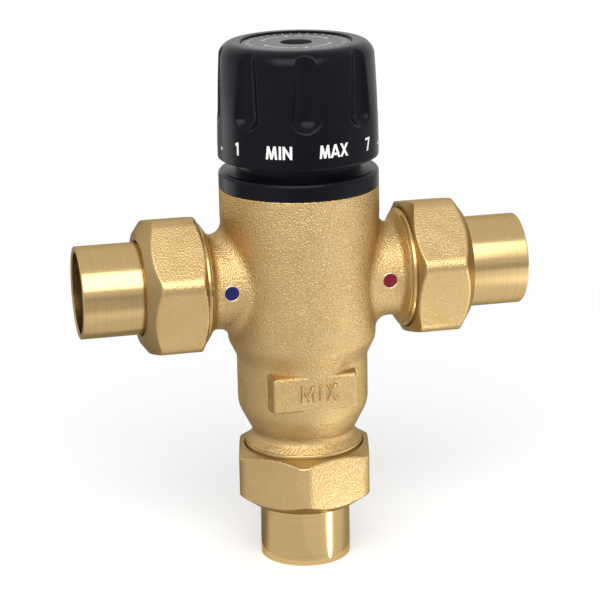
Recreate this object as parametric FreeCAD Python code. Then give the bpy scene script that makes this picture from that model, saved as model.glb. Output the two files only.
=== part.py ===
import FreeCAD, Part
import math
import os

# A three-way mixing valve for domestic hot water, with solder unions. Cold enters at -X, hot at +X and
# the mixed water leaves downwards. A wax element moves a shuttle between a hot and a cold seat, and the
# knob on top raises or lowers the point that the element pushes against.
# Millimetres. +Z is up, -Y is the front. The origin is the centre of the mixed outlet's mouth. Heights in
# the functions are counted from the side ports' axis, and `export` lifts each piece to its place.

Vector = FreeCAD.Vector
Z_AXIS = Vector(0, 0, 1)
CENTRE = Vector(0, 0, 0)

# ---- general fits -----------------------------------------------------------------------------------------
RUNNING_GAP = 0.05        # radial, between pieces that turn or slide in one another
SEATED_GAP = 0.05         # radial, between pieces that are pushed or screwed together
END_GAP = 0.15            # axial play of a piece held between two shoulders
STOP_GAP = 0.30           # what is left before two pieces meet at the end of a travel
EDGE = 0.3                # small broken edge of turned pieces

# ---- solder unions ----------------------------------------------------------------------------------------
TUBE_R = 11.11            # copper tube of 7/8 in. outside, the nominal 3/4 in. size
SOLDER_GAP = 0.04
SOCKET_DEPTH = 19.0
TAIL_WALL = 1.55
TAIL_SHOW = 16.7          # tailpiece that stands out of its nut
FLANGE_STEP = 2.3         # flange beyond the tail's outside
FLANGE_THICK = 3.0
FLANGE_CLEAR = 1.62       # flange to the crest of the union thread
GASKET_THICK = 2.0
SPIGOT_LENGTH = 9.9       # threaded spigot, from its ring to the sealing face
RING_BACK = 2.3           # flare behind the spigot's ring
NUT_WALL = 1.6            # nut's wall at the middle of a flat
NUT_CORNER_ROUND = 4.4
NUT_EDGE_ROUND = 0.4      # where the flats meet the cone and the chamfer
NUT_LENGTH = 16.6
NUT_LIP = 2.6
NUT_LIP_GAP = 0.4         # round the tail
NUT_LIP_FACE = 0.5        # flat ring left at the nut's outer end
NUT_OUTER_CONE = 2.8
NUT_INNER_FACE = 1.05     # flat ring left at the nut's inner end
NUT_CHAMFER_DEG = 30.0
SIDE_NUT_TURN = 13.0      # corner of a side nut, above the front
MIX_NUT_TURN = -13.0      # corner of the lower nut, from the front
TUBE_STOP = 0.85          # step that the tube rests on

# ---- shuttle and wax element ------------------------------------------------------------------------------
SHUTTLE_R = 13.95
SHUTTLE_WALL = 2.4
SHUTTLE_HALF = 8.0
SPRING_SHELF = 3.0        # below the port axis, where the return spring pushes
SPRING_SHELF_R = 12.4
SPOKES = 4
SPOKE_WIDTH = 2.6
HUB_WALL = 2.5
HUB_RISE = 1.0
ELEMENT_R = 6.4
ELEMENT_GAP = 0.1
ELEMENT_LENGTH = 28.0
ELEMENT_FLANGE_R = 8.8
ELEMENT_FLANGE = 2.0
ELEMENT_NECK_R = 4.0
ELEMENT_NECK = 6.2
PISTON_R = 2.0
PISTON_GAP = 0.03
PISTON_DEPTH = 13.0       # piston inside the element at rest
PISTON_ROOM = 2.0         # hole left under it
WARM_STROKE = 1.2         # shuttle down as the element grows
COOL_STROKE = 0.8         # shuttle up as it shrinks
RETURN_WIRE = 1.8
RETURN_TURNS = 6.0
SHUTTLE_SEAL = 1.38       # o-ring section

# ---- body -------------------------------------------------------------------------------------------------
PARTITION_HALF = 4.0      # wall between the cold and the hot gallery
GALLERY_STEP = 2.5        # galleries beyond the partition's bore
BONNET_LEDGE = 1.5
BARREL_WALL = 4.0
SEAT_STEP = 1.5           # hot seat inside the partition's bore
CHAMBER_DEPTH = 34.0      # spring's ledge below the port axis
LOWER_WALL = 5.8
NOSE_WALL = 4.2
NECK_WALL = 2.85
PORT_FLOOR_WALL = 3.5     # between a side port's bottom and its gallery
BODY_TOP = 25.8
BARREL_STRAIGHT = 17.9
WAIST_STEP = 1.4          # barrel's taper down to the waist
SHOULDER_Z = -22.2
SHOULDER_RISE = 4.8       # waist above the shoulder's foot
NOSE_LENGTH = 7.5         # taper from the lower barrel to the neck
NECK_LENGTH = 1.4         # straight neck above the lower ring's flare
SIDE_SHOULDER = 28.2      # valve's axis to the ring of a side spigot
MIX_SHOULDER = 47.6       # port axis to the ring of the lower spigot
BRANCH_BLEND = 3.6
FORGED_ROUND = 4.0
NOSE_ROUND = 9.0
THROAT_ROUND = 2.0

PLATE_WIDTH = 23.4
PLATE_HEIGHT = 9.8
PLATE_Z = -28.9
PLATE_X = -0.6
PLATE_PROUD = -0.1        # plate's face in front of the lower barrel
PLATE_DRAFT = 0.9         # plate's foot beyond its face, at its ends
PLATE_DRAFT_TOP = 1.2     # and at its top and bottom
PLATE_DEPTH = 8.0
PLATE_ROUND = 0.9

MARKER_R = 2.0
MARKER_THICK = 0.7
MARKER_X = 22.15

# ---- bonnet, spindle and carrier --------------------------------------------------------------------------
SEAT_BORE_STEP = 2.5      # cold seat's bore inside the partition's bore
SEAT_BORE_DEPTH = 2.0
BONNET_HEX = 25.0         # across flats
BONNET_TOP = 41.0
BONNET_CEILING = 38.0
GLAND_R = 8.0
GLAND_RISE = 7.0
BONNET_SEAL = 1.64
BONNET_SEAL_Z = 2.6       # above the cold seat
CARRIER_R = 9.95
CARRIER_WALL = 2.0
CARRIER_BOTTOM = 13.5
CARRIER_NUT = 6.2
KEY_WIDTH = 3.9
KEY_R = 11.35
SPINDLE_R = 5.0
THRUST_R = 8.5
THRUST_THICK = 2.3
WASHER_THICK = 0.6
SCREW_R = 4.0             # spindle's screw
SPINDLE_SEAL = 1.2
SPINDLE_SEALS = 2
CIRCLIP_THICK = 1.0
CIRCLIP_R = 7.2
CIRCLIP_BITE = 0.8
SPLINE_TEETH = 18
SPLINE_DEPTH = 0.45
SPLINE_LENGTH = 9.8
SCREW_LEAD = 2.0
TURN_TO_MIN = 153.0
TURN_TO_MAX = 167.6
OVERTRAVEL = 1.2
OVERTRAVEL_WIRE = 1.5
OVERTRAVEL_TURNS = 4.5
PLUNGER_FLANGE = 1.6
PLUNGER_NOSE_R = 5.6
PLUNGER_NOSE = 2.9
PLUNGER_PIN_R = 3.6
PLUNGER_PIN = 3.4
RING_THICK = 0.9
RING_BITE = 0.7
RING_INSET = 0.5          # retaining ring above the carrier's end
DIMPLE = 0.8

# ---- collar and knob --------------------------------------------------------------------------------------
COLLAR_HEIGHT = 4.9
COLLAR_ROUND = 1.2
COLLAR_RISE = 7.3
SKIRT_CLEAR = 1.2         # between the collar's inner rise and the skirt
INDEX_WIDTH = 1.2
INDEX_DEPTH = 0.5
KNOB_GAP = 3.5            # collar to skirt
KNOB_HEIGHT = 31.4
KNOB_TOP_INSET = 0.9      # knob's side at the shoulder, inside its foot
KNOB_SHOULDER = 4.0       # rounding
KNOB_BULGE = 0.22
KNOB_WALL = 3.6
KNOB_ROOF = 3.0
KNOB_FOOT_ROUND = 0.4
KNOB_TURN = -7.0          # middle of the dial, from the front
FLUTES = 8
FLUTE_TOP_R = 3.4
FLUTE_FOOT_R = 5.4
FLUTE_TOP_DEPTH = 1.9
FLUTE_FOOT_DEPTH = 2.5
FLUTE_TOP = 30.0          # above the knob's foot
FLUTE_FOOT = 12.8         # where the scoop's floor turns outwards
FLUTE_RUN_OUT = 2.9       # height of the sloped end below that
FLUTE_RUN_OUT_SWELL = 0.27
DISC_R = 14.95
DISC_RECESS = 2.3
DISC_THICK = 1.8
DISC_HOLE_R = 4.3
DISC_ROUND = 0.25
HUB_R = 8.6
SCREW_HEAD_R = 3.6
SCREW_HEAD = 1.9
SCREW_SHANK_R = 2.0
SCREW_SHANK = 9.0
SCREW_FLOOR = 1.6
STOP_WIDTH = 19.0         # degrees, of each of the two end stops
STOP_HEIGHT = 3.0

# ---- sizes that follow ------------------------------------------------------------------------------------
SOCKET_R = TUBE_R + SOLDER_GAP
WATERWAY_R = SOCKET_R - TUBE_STOP
TAIL_R = SOCKET_R + TAIL_WALL
FLANGE_R = TAIL_R + FLANGE_STEP
THREAD_R = FLANGE_R + FLANGE_CLEAR
NUT_BORE_R = THREAD_R + SEATED_GAP
NUT_FLAT = NUT_BORE_R + NUT_WALL

PARTITION_R = SHUTTLE_R + RUNNING_GAP
GALLERY_R = PARTITION_R + GALLERY_STEP
POCKET_R = GALLERY_R + BONNET_LEDGE
BARREL_R = POCKET_R + BARREL_WALL
HOT_SEAT_R = PARTITION_R - SEAT_STEP
SHUTTLE_BORE_R = SHUTTLE_R - SHUTTLE_WALL
LOWER_R = HOT_SEAT_R + LOWER_WALL
NOSE_R = WATERWAY_R + NOSE_WALL
NECK_R = WATERWAY_R + NECK_WALL
PORT_FLOOR = GALLERY_R + PORT_FLOOR_WALL
WAIST_Z = SHOULDER_Z + SHOULDER_RISE
NECK_Z = -(MIX_SHOULDER - RING_BACK - NECK_LENGTH)
NOSE_Z = NECK_Z + NOSE_LENGTH

LIFT_PER_DEG = SCREW_LEAD / 360.0
LIFT_UP = TURN_TO_MAX * LIFT_PER_DEG
LIFT_DOWN = TURN_TO_MIN * LIFT_PER_DEG
COLD_SEAT_Z = SHUTTLE_HALF + LIFT_UP + OVERTRAVEL + COOL_STROKE + STOP_GAP
HOT_SEAT_Z = -(SHUTTLE_HALF + LIFT_DOWN + WARM_STROKE + STOP_GAP)
HUB_BORE_R = ELEMENT_R + ELEMENT_GAP
HUB_OUTER_R = HUB_BORE_R + HUB_WALL
PISTON_END = HUB_RISE + ELEMENT_FLANGE + ELEMENT_NECK - PISTON_DEPTH

CARRIER_BORE_R = CARRIER_R + RUNNING_GAP
CUP_R = CARRIER_R - CARRIER_WALL
RING_Z = CARRIER_BOTTOM + RING_INSET
PLUNGER_Z = RING_Z + RING_THICK + END_GAP
NOSE_TIP_Z = PLUNGER_Z - PLUNGER_NOSE
THRUST_Z = BONNET_CEILING - WASHER_THICK - END_GAP - THRUST_THICK
CARRIER_TOP = THRUST_Z - LIFT_UP - STOP_GAP
CUP_ROOF = CARRIER_TOP - CARRIER_NUT
GLAND_TOP = BONNET_TOP + GLAND_RISE
CIRCLIP_Z = GLAND_TOP + END_GAP
SPLINE_Z = CIRCLIP_Z + CIRCLIP_THICK + STOP_GAP
SPINDLE_TOP = SPLINE_Z + SPLINE_LENGTH

COLLAR_TOP = BODY_TOP + COLLAR_HEIGHT
KNOB_Z = COLLAR_TOP + KNOB_GAP
KNOB_TOP = KNOB_Z + KNOB_HEIGHT
KNOB_R = BARREL_R
KNOB_INNER_R = KNOB_R - KNOB_WALL
COLLAR_INNER_R = KNOB_INNER_R - SKIRT_CLEAR
DISC_Z = KNOB_TOP - DISC_RECESS
SCREW_SEAT_Z = SPINDLE_TOP + SCREW_FLOOR
STOP_Z = COLLAR_TOP + COLLAR_RISE - STOP_HEIGHT


class Port:
    """Where the pieces of one union lie, counted outwards from the valve's centre."""

    def __init__(self, name, ring, turn_to_axis, nut_turn):
        self.name = name
        self.ring = ring
        self.turn_to_axis = turn_to_axis
        self.nut_turn = nut_turn
        self.seal = ring + SPIGOT_LENGTH
        self.flange_back = self.seal + GASKET_THICK
        self.flange_front = self.flange_back + FLANGE_THICK
        self.nut_outer = self.flange_front + NUT_LIP
        self.nut_inner = self.nut_outer - NUT_LENGTH
        self.mouth = self.nut_outer + TAIL_SHOW

    def place(self, shape):
        """Turn a shape made along +Z so that it points out of this port."""
        shape = shape.copy()
        axis, angle = self.turn_to_axis
        shape.rotate(CENTRE, axis, angle)
        return shape


COLD = Port("cold", SIDE_SHOULDER, (Vector(0, 1, 0), -90), SIDE_NUT_TURN - 90)
HOT = Port("hot", SIDE_SHOULDER, (Vector(0, 1, 0), 90), -SIDE_NUT_TURN - 90)
MIX = Port("mix", MIX_SHOULDER, (Vector(1, 0, 0), 180), 90 - MIX_NUT_TURN)
PORTS = (COLD, HOT, MIX)


# ---- shape tools ------------------------------------------------------------------------------------------
def outline(corners):
    """Face in the XZ plane from (radius, height) or (radius, height, rounding) corners."""
    points = [Vector(c[0], 0, c[1]) for c in corners]
    rounds = [c[2] if len(c) > 2 else 0.0 for c in corners]
    starts, ends, arcs = [], [], []
    for i, point in enumerate(points):
        if not rounds[i]:
            starts.append(point)
            ends.append(point)
            arcs.append(None)
            continue
        back = (points[i - 1] - point).normalize()
        ahead = (points[(i + 1) % len(points)] - point).normalize()
        half = back.getAngle(ahead) / 2
        reach = rounds[i] / math.tan(half)
        bulge = rounds[i] / math.sin(half) - rounds[i]
        middle = point + (back + ahead).normalize() * bulge
        starts.append(point + back * reach)
        ends.append(point + ahead * reach)
        arcs.append(middle)
    edges = []
    for i, middle in enumerate(arcs):
        if middle is not None:
            edges.append(Part.Arc(starts[i], middle, ends[i]).toShape())
        following = starts[(i + 1) % len(points)]
        if ends[i].distanceToPoint(following) > 1e-6:
            edges.append(Part.LineSegment(ends[i], following).toShape())
    return Part.Face(Part.Wire(edges))


def turned(corners):
    """Solid of revolution about Z."""
    return outline(corners).revolve(CENTRE, Z_AXIS, 360)


def tube(inner, outer, low, high):
    """Plain ring."""
    return turned([(inner, low), (outer, low), (outer, high), (inner, high)])


def rod(radius, low, high):
    """Plain cylinder on the Z axis."""
    return Part.makeCylinder(radius, high - low, Vector(0, 0, low), Z_AXIS)


def polar(radius, degrees, height=0.0):
    """Point at an angle from +X."""
    angle = math.radians(degrees)
    return Vector(radius * math.cos(angle), radius * math.sin(angle), height)


def prism(points, low, high):
    """Straight solid on a polygon that lies at the height `low`."""
    wire = Part.makePolygon(points + [points[0]])
    return Part.Face(wire).extrude(Vector(0, 0, high - low))


def hexagon(half_width, low, high, turn=0.0):
    """Hexagonal bar, with a corner at the angle `turn`."""
    corner = half_width / math.cos(math.radians(30))
    return prism([polar(corner, turn + 60 * i, low) for i in range(6)], low, high)


def splined(outer, low, high):
    """Bar with fine straight teeth."""
    points = []
    for i in range(SPLINE_TEETH):
        points.append(polar(outer, 360 / SPLINE_TEETH * i, low))
        points.append(polar(outer - SPLINE_DEPTH, 360 / SPLINE_TEETH * (i + 0.5), low))
    return prism(points, low, high)


def block(x0, x1, y0, y1, z0, z1):
    """Box between two corners."""
    return Part.makeBox(x1 - x0, y1 - y0, z1 - z0, Vector(x0, y0, z0))


def ring_seal(middle_radius, height, section):
    """Round-section ring."""
    return Part.makeTorus(middle_radius, section / 2, Vector(0, 0, height), Z_AXIS)


def open_ring(inner, outer, low, high, gap_width):
    """Retaining ring with a gap at the front."""
    gap = block(-gap_width / 2, gap_width / 2, -outer - 1, 0, low - 1, high + 1)
    return tube(inner, outer, low, high).cut(gap)


def coil_spring(middle_radius, wire, low, high, turns):
    """Compression spring, its end turns touching the planes `low` and `high`."""
    start, end = low + wire / 2, high - wire / 2
    path = Part.makeHelix((end - start) / turns, end - start, middle_radius)
    section = Part.Wire(Part.Circle(Vector(middle_radius, 0, 0), Vector(0, 1, 0), wire / 2).toShape())
    spring = Part.Wire(path.Edges).makePipeShell([section], True, True)
    spring.translate(Vector(0, 0, start))
    return spring


def sector(inner, outer, low, high, middle, width):
    """Piece of a ring, `width` degrees wide about the angle `middle`."""
    face = Part.makePolygon([Vector(inner, 0, low), Vector(outer, 0, low), Vector(outer, 0, high),
                             Vector(inner, 0, high), Vector(inner, 0, low)])
    piece = Part.Face(face).revolve(CENTRE, Z_AXIS, width)
    piece.rotate(CENTRE, Z_AXIS, middle - width / 2)
    return piece


# ---- unions -----------------------------------------------------------------------------------------------
def union_nut(port):
    """Hexagon nut, coned at its outer end and chamfered at its inner end, with a lip behind the flange."""
    bar = hexagon(NUT_FLAT, port.nut_inner, port.nut_outer, port.nut_turn)
    upright = [e for e in bar.Edges if abs(e.tangentAt(e.FirstParameter).z) > 0.99]
    bar = bar.makeFillet(NUT_CORNER_ROUND, upright)
    corner = NUT_FLAT / math.cos(math.radians(30))
    lip_r = TAIL_R + NUT_LIP_GAP
    cone_start = lip_r + NUT_LIP_FACE
    cone_slope = NUT_OUTER_CONE / (NUT_FLAT - cone_start)
    face_r = NUT_BORE_R + NUT_INNER_FACE
    chamfer = (corner - face_r) * math.tan(math.radians(NUT_CHAMFER_DEG))
    envelope = turned([
        (0, port.nut_inner),
        (face_r, port.nut_inner),
        (corner, port.nut_inner + chamfer),
        (corner, port.nut_outer - cone_slope * (corner - cone_start)),
        (cone_start, port.nut_outer),
        (0, port.nut_outer),
    ])
    bore = turned([
        (0, port.nut_inner - 1),
        (NUT_BORE_R + EDGE, port.nut_inner - 1),
        (NUT_BORE_R + EDGE, port.nut_inner),
        (NUT_BORE_R, port.nut_inner + EDGE),
        (NUT_BORE_R, port.flange_front),
        (lip_r, port.flange_front),
        (lip_r, port.nut_outer + 1),
        (0, port.nut_outer + 1),
    ])
    blank = bar.common(envelope)
    curved = [e for e in blank.Edges if e.Curve.TypeId not in ("Part::GeomLine", "Part::GeomCircle")]
    return port.place(blank.makeFillet(NUT_EDGE_ROUND, curved).cut(bore))


def tailpiece(port):
    """Turned tail with a socket for the tube and a flange for the nut."""
    stop = port.mouth - SOCKET_DEPTH
    return port.place(turned([
        (WATERWAY_R, port.flange_back),
        (FLANGE_R, port.flange_back, EDGE),
        (FLANGE_R, port.flange_front, EDGE),
        (TAIL_R, port.flange_front),
        (TAIL_R, port.mouth, EDGE),
        (SOCKET_R + EDGE, port.mouth),
        (SOCKET_R, port.mouth - EDGE),
        (SOCKET_R, stop),
        (WATERWAY_R, stop),
    ]))


def gasket(port):
    """Flat fibre washer between the spigot and the tail's flange."""
    return port.place(tube(WATERWAY_R, FLANGE_R, port.seal, port.flange_back))


# ---- body -------------------------------------------------------------------------------------------------
def spigot(port, start, neck):
    """Neck that flares to the spigot's ring, with the threaded length in front of it."""
    thread_start = port.nut_inner + EDGE
    relief = THREAD_R - 2 * EDGE
    return port.place(turned([
        (0, start),
        (neck, start),
        (neck, port.ring - RING_BACK, THROAT_ROUND),
        (THREAD_R, port.ring, EDGE),
        (THREAD_R, thread_start),
        (relief, thread_start + EDGE),
        (relief, thread_start + 3 * EDGE),
        (THREAD_R, thread_start + 4 * EDGE),
        (THREAD_R, port.seal, EDGE),
        (0, port.seal),
    ]))


def forged_outside():
    """Tapered barrel with a waist and a nose, two side branches blended in, and the front plate."""
    barrel = turned([
        (0, BODY_TOP),
        (BARREL_R, BODY_TOP, EDGE),
        (BARREL_R, BARREL_STRAIGHT),
        (BARREL_R - WAIST_STEP, WAIST_Z, FORGED_ROUND),
        (LOWER_R, SHOULDER_Z, FORGED_ROUND),
        (LOWER_R, NOSE_Z, NOSE_ROUND),
        (NOSE_R, NECK_Z, THROAT_ROUND),
        (NOSE_R, -(MIX.ring - RING_BACK)),
        (0, -(MIX.ring - RING_BACK)),
    ])
    reach = SIDE_SHOULDER - RING_BACK
    branches = [Part.makeCylinder(NECK_R, reach, CENTRE, Vector(side, 0, 0)) for side in (-1, 1)]
    blank = barrel.multiFuse(branches).removeSplitter()
    blank = blank.makeFillet(BRANCH_BLEND, branch_edges(blank))
    spigots = [spigot(COLD, PORT_FLOOR, NECK_R), spigot(HOT, PORT_FLOOR, NECK_R)]
    spigots.append(spigot(MIX, -NECK_Z, NOSE_R))
    return blank.multiFuse(spigots + [front_plate()]).removeSplitter()


def branch_edges(blank):
    """The two curves where the branches leave the barrel."""
    found = []
    for edge in blank.Edges:
        box = edge.BoundBox
        saddle = box.ZLength > 1.9 * NECK_R and box.YLength > 0.9 * NECK_R and box.XLength > EDGE
        if saddle and box.XMin * box.XMax > 0:
            found.append(edge)
    return found


def front_plate():
    """Raised plate with drafted sides on the front of the lower barrel, where the outlet's name stands."""
    face = -(LOWER_R + PLATE_PROUD)
    wires = []
    for y, wider, taller in ((face, 0, 0), (face + PLATE_DEPTH, PLATE_DRAFT, PLATE_DRAFT_TOP)):
        half_x, half_z = PLATE_WIDTH / 2 + wider, PLATE_HEIGHT / 2 + taller
        corners = [Vector(PLATE_X + side_x * half_x, y, PLATE_Z + side_z * half_z)
                   for side_x, side_z in ((-1, -1), (1, -1), (1, 1), (-1, 1))]
        wires.append(Part.makePolygon(corners + [corners[0]]))
    plate = Part.makeLoft(wires, True, True)
    rounded = [e for e in plate.Edges if e.BoundBox.YLength > PLATE_DEPTH / 2]
    rounded += [e for e in plate.Edges if e.BoundBox.YMax < face + EDGE]
    return plate.makeFillet(PLATE_ROUND, rounded)


def side_port(side, low, high):
    """Blind bore of a side port, with a window to the gallery between two heights."""
    axis = Vector(side, 0, 0)
    bore = Part.makeCylinder(WATERWAY_R, COLD.seal - PORT_FLOOR + 1, axis * PORT_FLOOR, axis)
    window = Part.makeCylinder(WATERWAY_R, PORT_FLOOR - PARTITION_R + 1, axis * PARTITION_R, axis)
    slab = block(-PORT_FLOOR - 2, PORT_FLOOR + 2, -WATERWAY_R, WATERWAY_R, low, high)
    return bore.fuse(window.common(slab))


def body_inside():
    """Stepped bore from the top, with the two galleries, the hot seat and the outlet."""
    return turned([
        (0, BODY_TOP + 1),
        (POCKET_R, BODY_TOP + 1),
        (POCKET_R, COLD_SEAT_Z),
        (GALLERY_R, COLD_SEAT_Z),
        (GALLERY_R, PARTITION_HALF),
        (PARTITION_R, PARTITION_HALF),
        (PARTITION_R, -PARTITION_HALF),
        (GALLERY_R, -PARTITION_HALF),
        (GALLERY_R, HOT_SEAT_Z),
        (HOT_SEAT_R, HOT_SEAT_Z),
        (HOT_SEAT_R, -CHAMBER_DEPTH),
        (WATERWAY_R, -CHAMBER_DEPTH),
        (WATERWAY_R, -MIX.seal - 1),
        (0, -MIX.seal - 1),
    ])


def marker_front():
    """Plane of a marker's face, on the front of the branch's neck."""
    return -math.sqrt(NECK_R ** 2 - MARKER_R ** 2)


def marker(side, radius):
    """Round inlay in the front of a branch."""
    start = Vector(side * MARKER_X, marker_front() + MARKER_THICK, 0)
    return Part.makeCylinder(radius, MARKER_THICK, start, Vector(0, -1, 0))


def marker_seat(side):
    """Recess that takes a marker, open to the front."""
    start = Vector(side * MARKER_X, marker_front() + MARKER_THICK, 0)
    return Part.makeCylinder(MARKER_R + SEATED_GAP, MARKER_THICK + 1, start, Vector(0, -1, 0))


def valve_body():
    """Forged and bored brass body."""
    body = forged_outside().cut(body_inside())
    body = body.cut(side_port(-1, PARTITION_HALF, COLD_SEAT_Z))
    body = body.cut(side_port(1, HOT_SEAT_Z, -PARTITION_HALF))
    for side in (-1, 1):
        body = body.cut(marker_seat(side))
    return body


# ---- bonnet and collar ------------------------------------------------------------------------------------
def key_bars(radius, width, low, high):
    """Two opposite keys, along X."""
    return block(-radius, radius, -width / 2, width / 2, low, high)


def bonnet():
    """Turned head: cold seat below, guide for the carrier, hexagon and gland for the spindle."""
    seal_r = POCKET_R - BONNET_SEAL
    seal_z = COLD_SEAT_Z + BONNET_SEAL_Z
    shell = turned([
        (0, COLD_SEAT_Z),
        (POCKET_R - SEATED_GAP, COLD_SEAT_Z, EDGE),
        (POCKET_R - SEATED_GAP, seal_z - BONNET_SEAL / 2),
        (seal_r, seal_z - BONNET_SEAL / 2),
        (seal_r, seal_z + BONNET_SEAL / 2),
        (POCKET_R - SEATED_GAP, seal_z + BONNET_SEAL / 2),
        (POCKET_R - SEATED_GAP, BODY_TOP - EDGE, EDGE),
        (0, BODY_TOP - EDGE),
    ])
    head = hexagon(BONNET_HEX / 2, BODY_TOP - EDGE, BONNET_TOP)
    gland = turned([(0, BONNET_TOP), (GLAND_R, BONNET_TOP), (GLAND_R, GLAND_TOP, EDGE), (0, GLAND_TOP)])
    seat_r = PARTITION_R - SEAT_BORE_STEP
    guide_z = COLD_SEAT_Z + SEAT_BORE_DEPTH
    inside = turned([
        (0, COLD_SEAT_Z - 1),
        (seat_r, COLD_SEAT_Z - 1),
        (seat_r, guide_z),
        (CARRIER_BORE_R, guide_z),
        (CARRIER_BORE_R, BONNET_CEILING),
        (SPINDLE_R + RUNNING_GAP, BONNET_CEILING),
        (SPINDLE_R + RUNNING_GAP, GLAND_TOP + 1),
        (0, GLAND_TOP + 1),
    ])
    slots = key_bars(KEY_R + 3 * RUNNING_GAP, KEY_WIDTH + 2 * RUNNING_GAP, guide_z, BONNET_CEILING)
    return shell.multiFuse([head, gland]).removeSplitter().cut(inside).cut(slots)


def bonnet_seal():
    """Ring that seals the bonnet in the body."""
    return ring_seal(POCKET_R - BONNET_SEAL / 2, COLD_SEAT_Z + BONNET_SEAL_Z, BONNET_SEAL)


def index_collar():
    """Collar under the knob, held from turning by the bonnet's hexagon, with the index notch behind."""
    rise_top = COLLAR_TOP + COLLAR_RISE
    ring = turned([
        (0, BODY_TOP),
        (BARREL_R, BODY_TOP, EDGE),
        (BARREL_R, COLLAR_TOP, COLLAR_ROUND),
        (COLLAR_INNER_R, COLLAR_TOP),
        (COLLAR_INNER_R, rise_top, EDGE),
        (0, rise_top),
    ])
    socket = hexagon(BONNET_HEX / 2 + SEATED_GAP, BODY_TOP - 1, rise_top + 1)
    notch = block(-INDEX_WIDTH / 2, INDEX_WIDTH / 2, BARREL_R - INDEX_DEPTH, BARREL_R + 1,
                  BODY_TOP + COLLAR_HEIGHT / 4, COLLAR_TOP + 1)
    stop_r = (COLLAR_INNER_R + KNOB_INNER_R) / 2 + STOP_GAP
    stop = sector(COLLAR_INNER_R - EDGE, stop_r, STOP_Z, rise_top - EDGE, 90, STOP_WIDTH)
    return ring.fuse(stop).cut(socket).cut(notch)


# ---- spindle and carrier ----------------------------------------------------------------------------------
def seal_heights():
    """Heights of the spindle's rings, spread over the gland."""
    low = BONNET_CEILING + GLAND_RISE / 2
    step = (GLAND_TOP - low) / (SPINDLE_SEALS + 0.5)
    return [low + step * i for i in range(SPINDLE_SEALS)]


def spindle():
    """Turned spindle: screw below, thrust collar, ring grooves, clip groove and spline."""
    shaft = turned([
        (0, CUP_ROOF + STOP_GAP),
        (SCREW_R, CUP_ROOF + STOP_GAP, EDGE),
        (SCREW_R, THRUST_Z),
        (THRUST_R, THRUST_Z, EDGE),
        (THRUST_R, THRUST_Z + THRUST_THICK, EDGE),
        (SPINDLE_R, THRUST_Z + THRUST_THICK),
        (SPINDLE_R, SPLINE_Z),
        (0, SPLINE_Z),
    ])
    shaft = shaft.fuse(splined(SPINDLE_R, SPLINE_Z, SPINDLE_TOP))
    floor = SPINDLE_R + RUNNING_GAP / 2 - SPINDLE_SEAL
    for height in seal_heights():
        shaft = shaft.cut(tube(floor, SPINDLE_R + 1, height - SPINDLE_SEAL / 2, height + SPINDLE_SEAL / 2))
    shaft = shaft.cut(tube(SPINDLE_R - CIRCLIP_BITE, SPINDLE_R + 1, CIRCLIP_Z, CIRCLIP_Z + CIRCLIP_THICK))
    return shaft.cut(rod(SCREW_SHANK_R, SPINDLE_TOP - SCREW_SHANK, SPINDLE_TOP + 1))


def spindle_seals():
    """Rings that seal the spindle in its gland, running with a hair of clearance."""
    radius = SPINDLE_R + RUNNING_GAP / 2 - SPINDLE_SEAL / 2
    return Part.makeCompound([ring_seal(radius, height, SPINDLE_SEAL) for height in seal_heights()])


def thrust_washer():
    """Slippery washer between the thrust collar and the bonnet."""
    low = THRUST_Z + THRUST_THICK
    return tube(SPINDLE_R + RUNNING_GAP, THRUST_R, low, low + WASHER_THICK)


def spindle_circlip():
    """Clip that keeps the spindle in the bonnet."""
    return open_ring(SPINDLE_R - CIRCLIP_BITE, CIRCLIP_R, CIRCLIP_Z, CIRCLIP_Z + CIRCLIP_THICK, SPINDLE_R)


def carrier():
    """Nut with two keys that climbs the spindle's screw, and the cup of the overtravel spring below."""
    shell = turned([
        (0, CARRIER_BOTTOM),
        (CARRIER_R, CARRIER_BOTTOM, EDGE),
        (CARRIER_R, CARRIER_TOP, EDGE),
        (0, CARRIER_TOP),
    ])
    keys = key_bars(KEY_R, KEY_WIDTH, CUP_ROOF, CARRIER_TOP)
    groove_r = CUP_R + RING_BITE
    cavity = turned([
        (0, CARRIER_BOTTOM - 1),
        (CUP_R, CARRIER_BOTTOM - 1),
        (CUP_R, RING_Z),
        (groove_r, RING_Z),
        (groove_r, RING_Z + RING_THICK),
        (CUP_R, RING_Z + RING_THICK),
        (CUP_R, CUP_ROOF),
        (SCREW_R + RUNNING_GAP, CUP_ROOF),
        (SCREW_R + RUNNING_GAP, CARRIER_TOP + 1),
        (0, CARRIER_TOP + 1),
    ])
    return shell.fuse(keys).cut(cavity)


def carrier_retaining_ring():
    """Ring that keeps the plunger in the carrier."""
    inner = PLUNGER_NOSE_R + STOP_GAP
    return open_ring(inner, CUP_R + RING_BITE, RING_Z, RING_Z + RING_THICK, PLUNGER_NOSE_R)


def overtravel_plunger():
    """Flanged plunger that the element's piston pushes against."""
    spring_seat = PLUNGER_Z + PLUNGER_FLANGE
    return turned([
        (0, NOSE_TIP_Z + DIMPLE),
        (PISTON_R + RUNNING_GAP, NOSE_TIP_Z + DIMPLE),
        (PISTON_R + RUNNING_GAP, NOSE_TIP_Z),
        (PLUNGER_NOSE_R, NOSE_TIP_Z, EDGE),
        (PLUNGER_NOSE_R, PLUNGER_Z),
        (CUP_R - 2 * RUNNING_GAP, PLUNGER_Z),
        (CUP_R - 2 * RUNNING_GAP, spring_seat),
        (PLUNGER_PIN_R, spring_seat),
        (PLUNGER_PIN_R, spring_seat + PLUNGER_PIN, EDGE),
        (0, spring_seat + PLUNGER_PIN),
    ])


def overtravel_spring():
    """Stiff spring that gives way when the element would push too far."""
    middle = (PLUNGER_PIN_R + CUP_R) / 2
    return coil_spring(middle, OVERTRAVEL_WIRE, PLUNGER_Z + PLUNGER_FLANGE, CUP_ROOF, OVERTRAVEL_TURNS)


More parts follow.
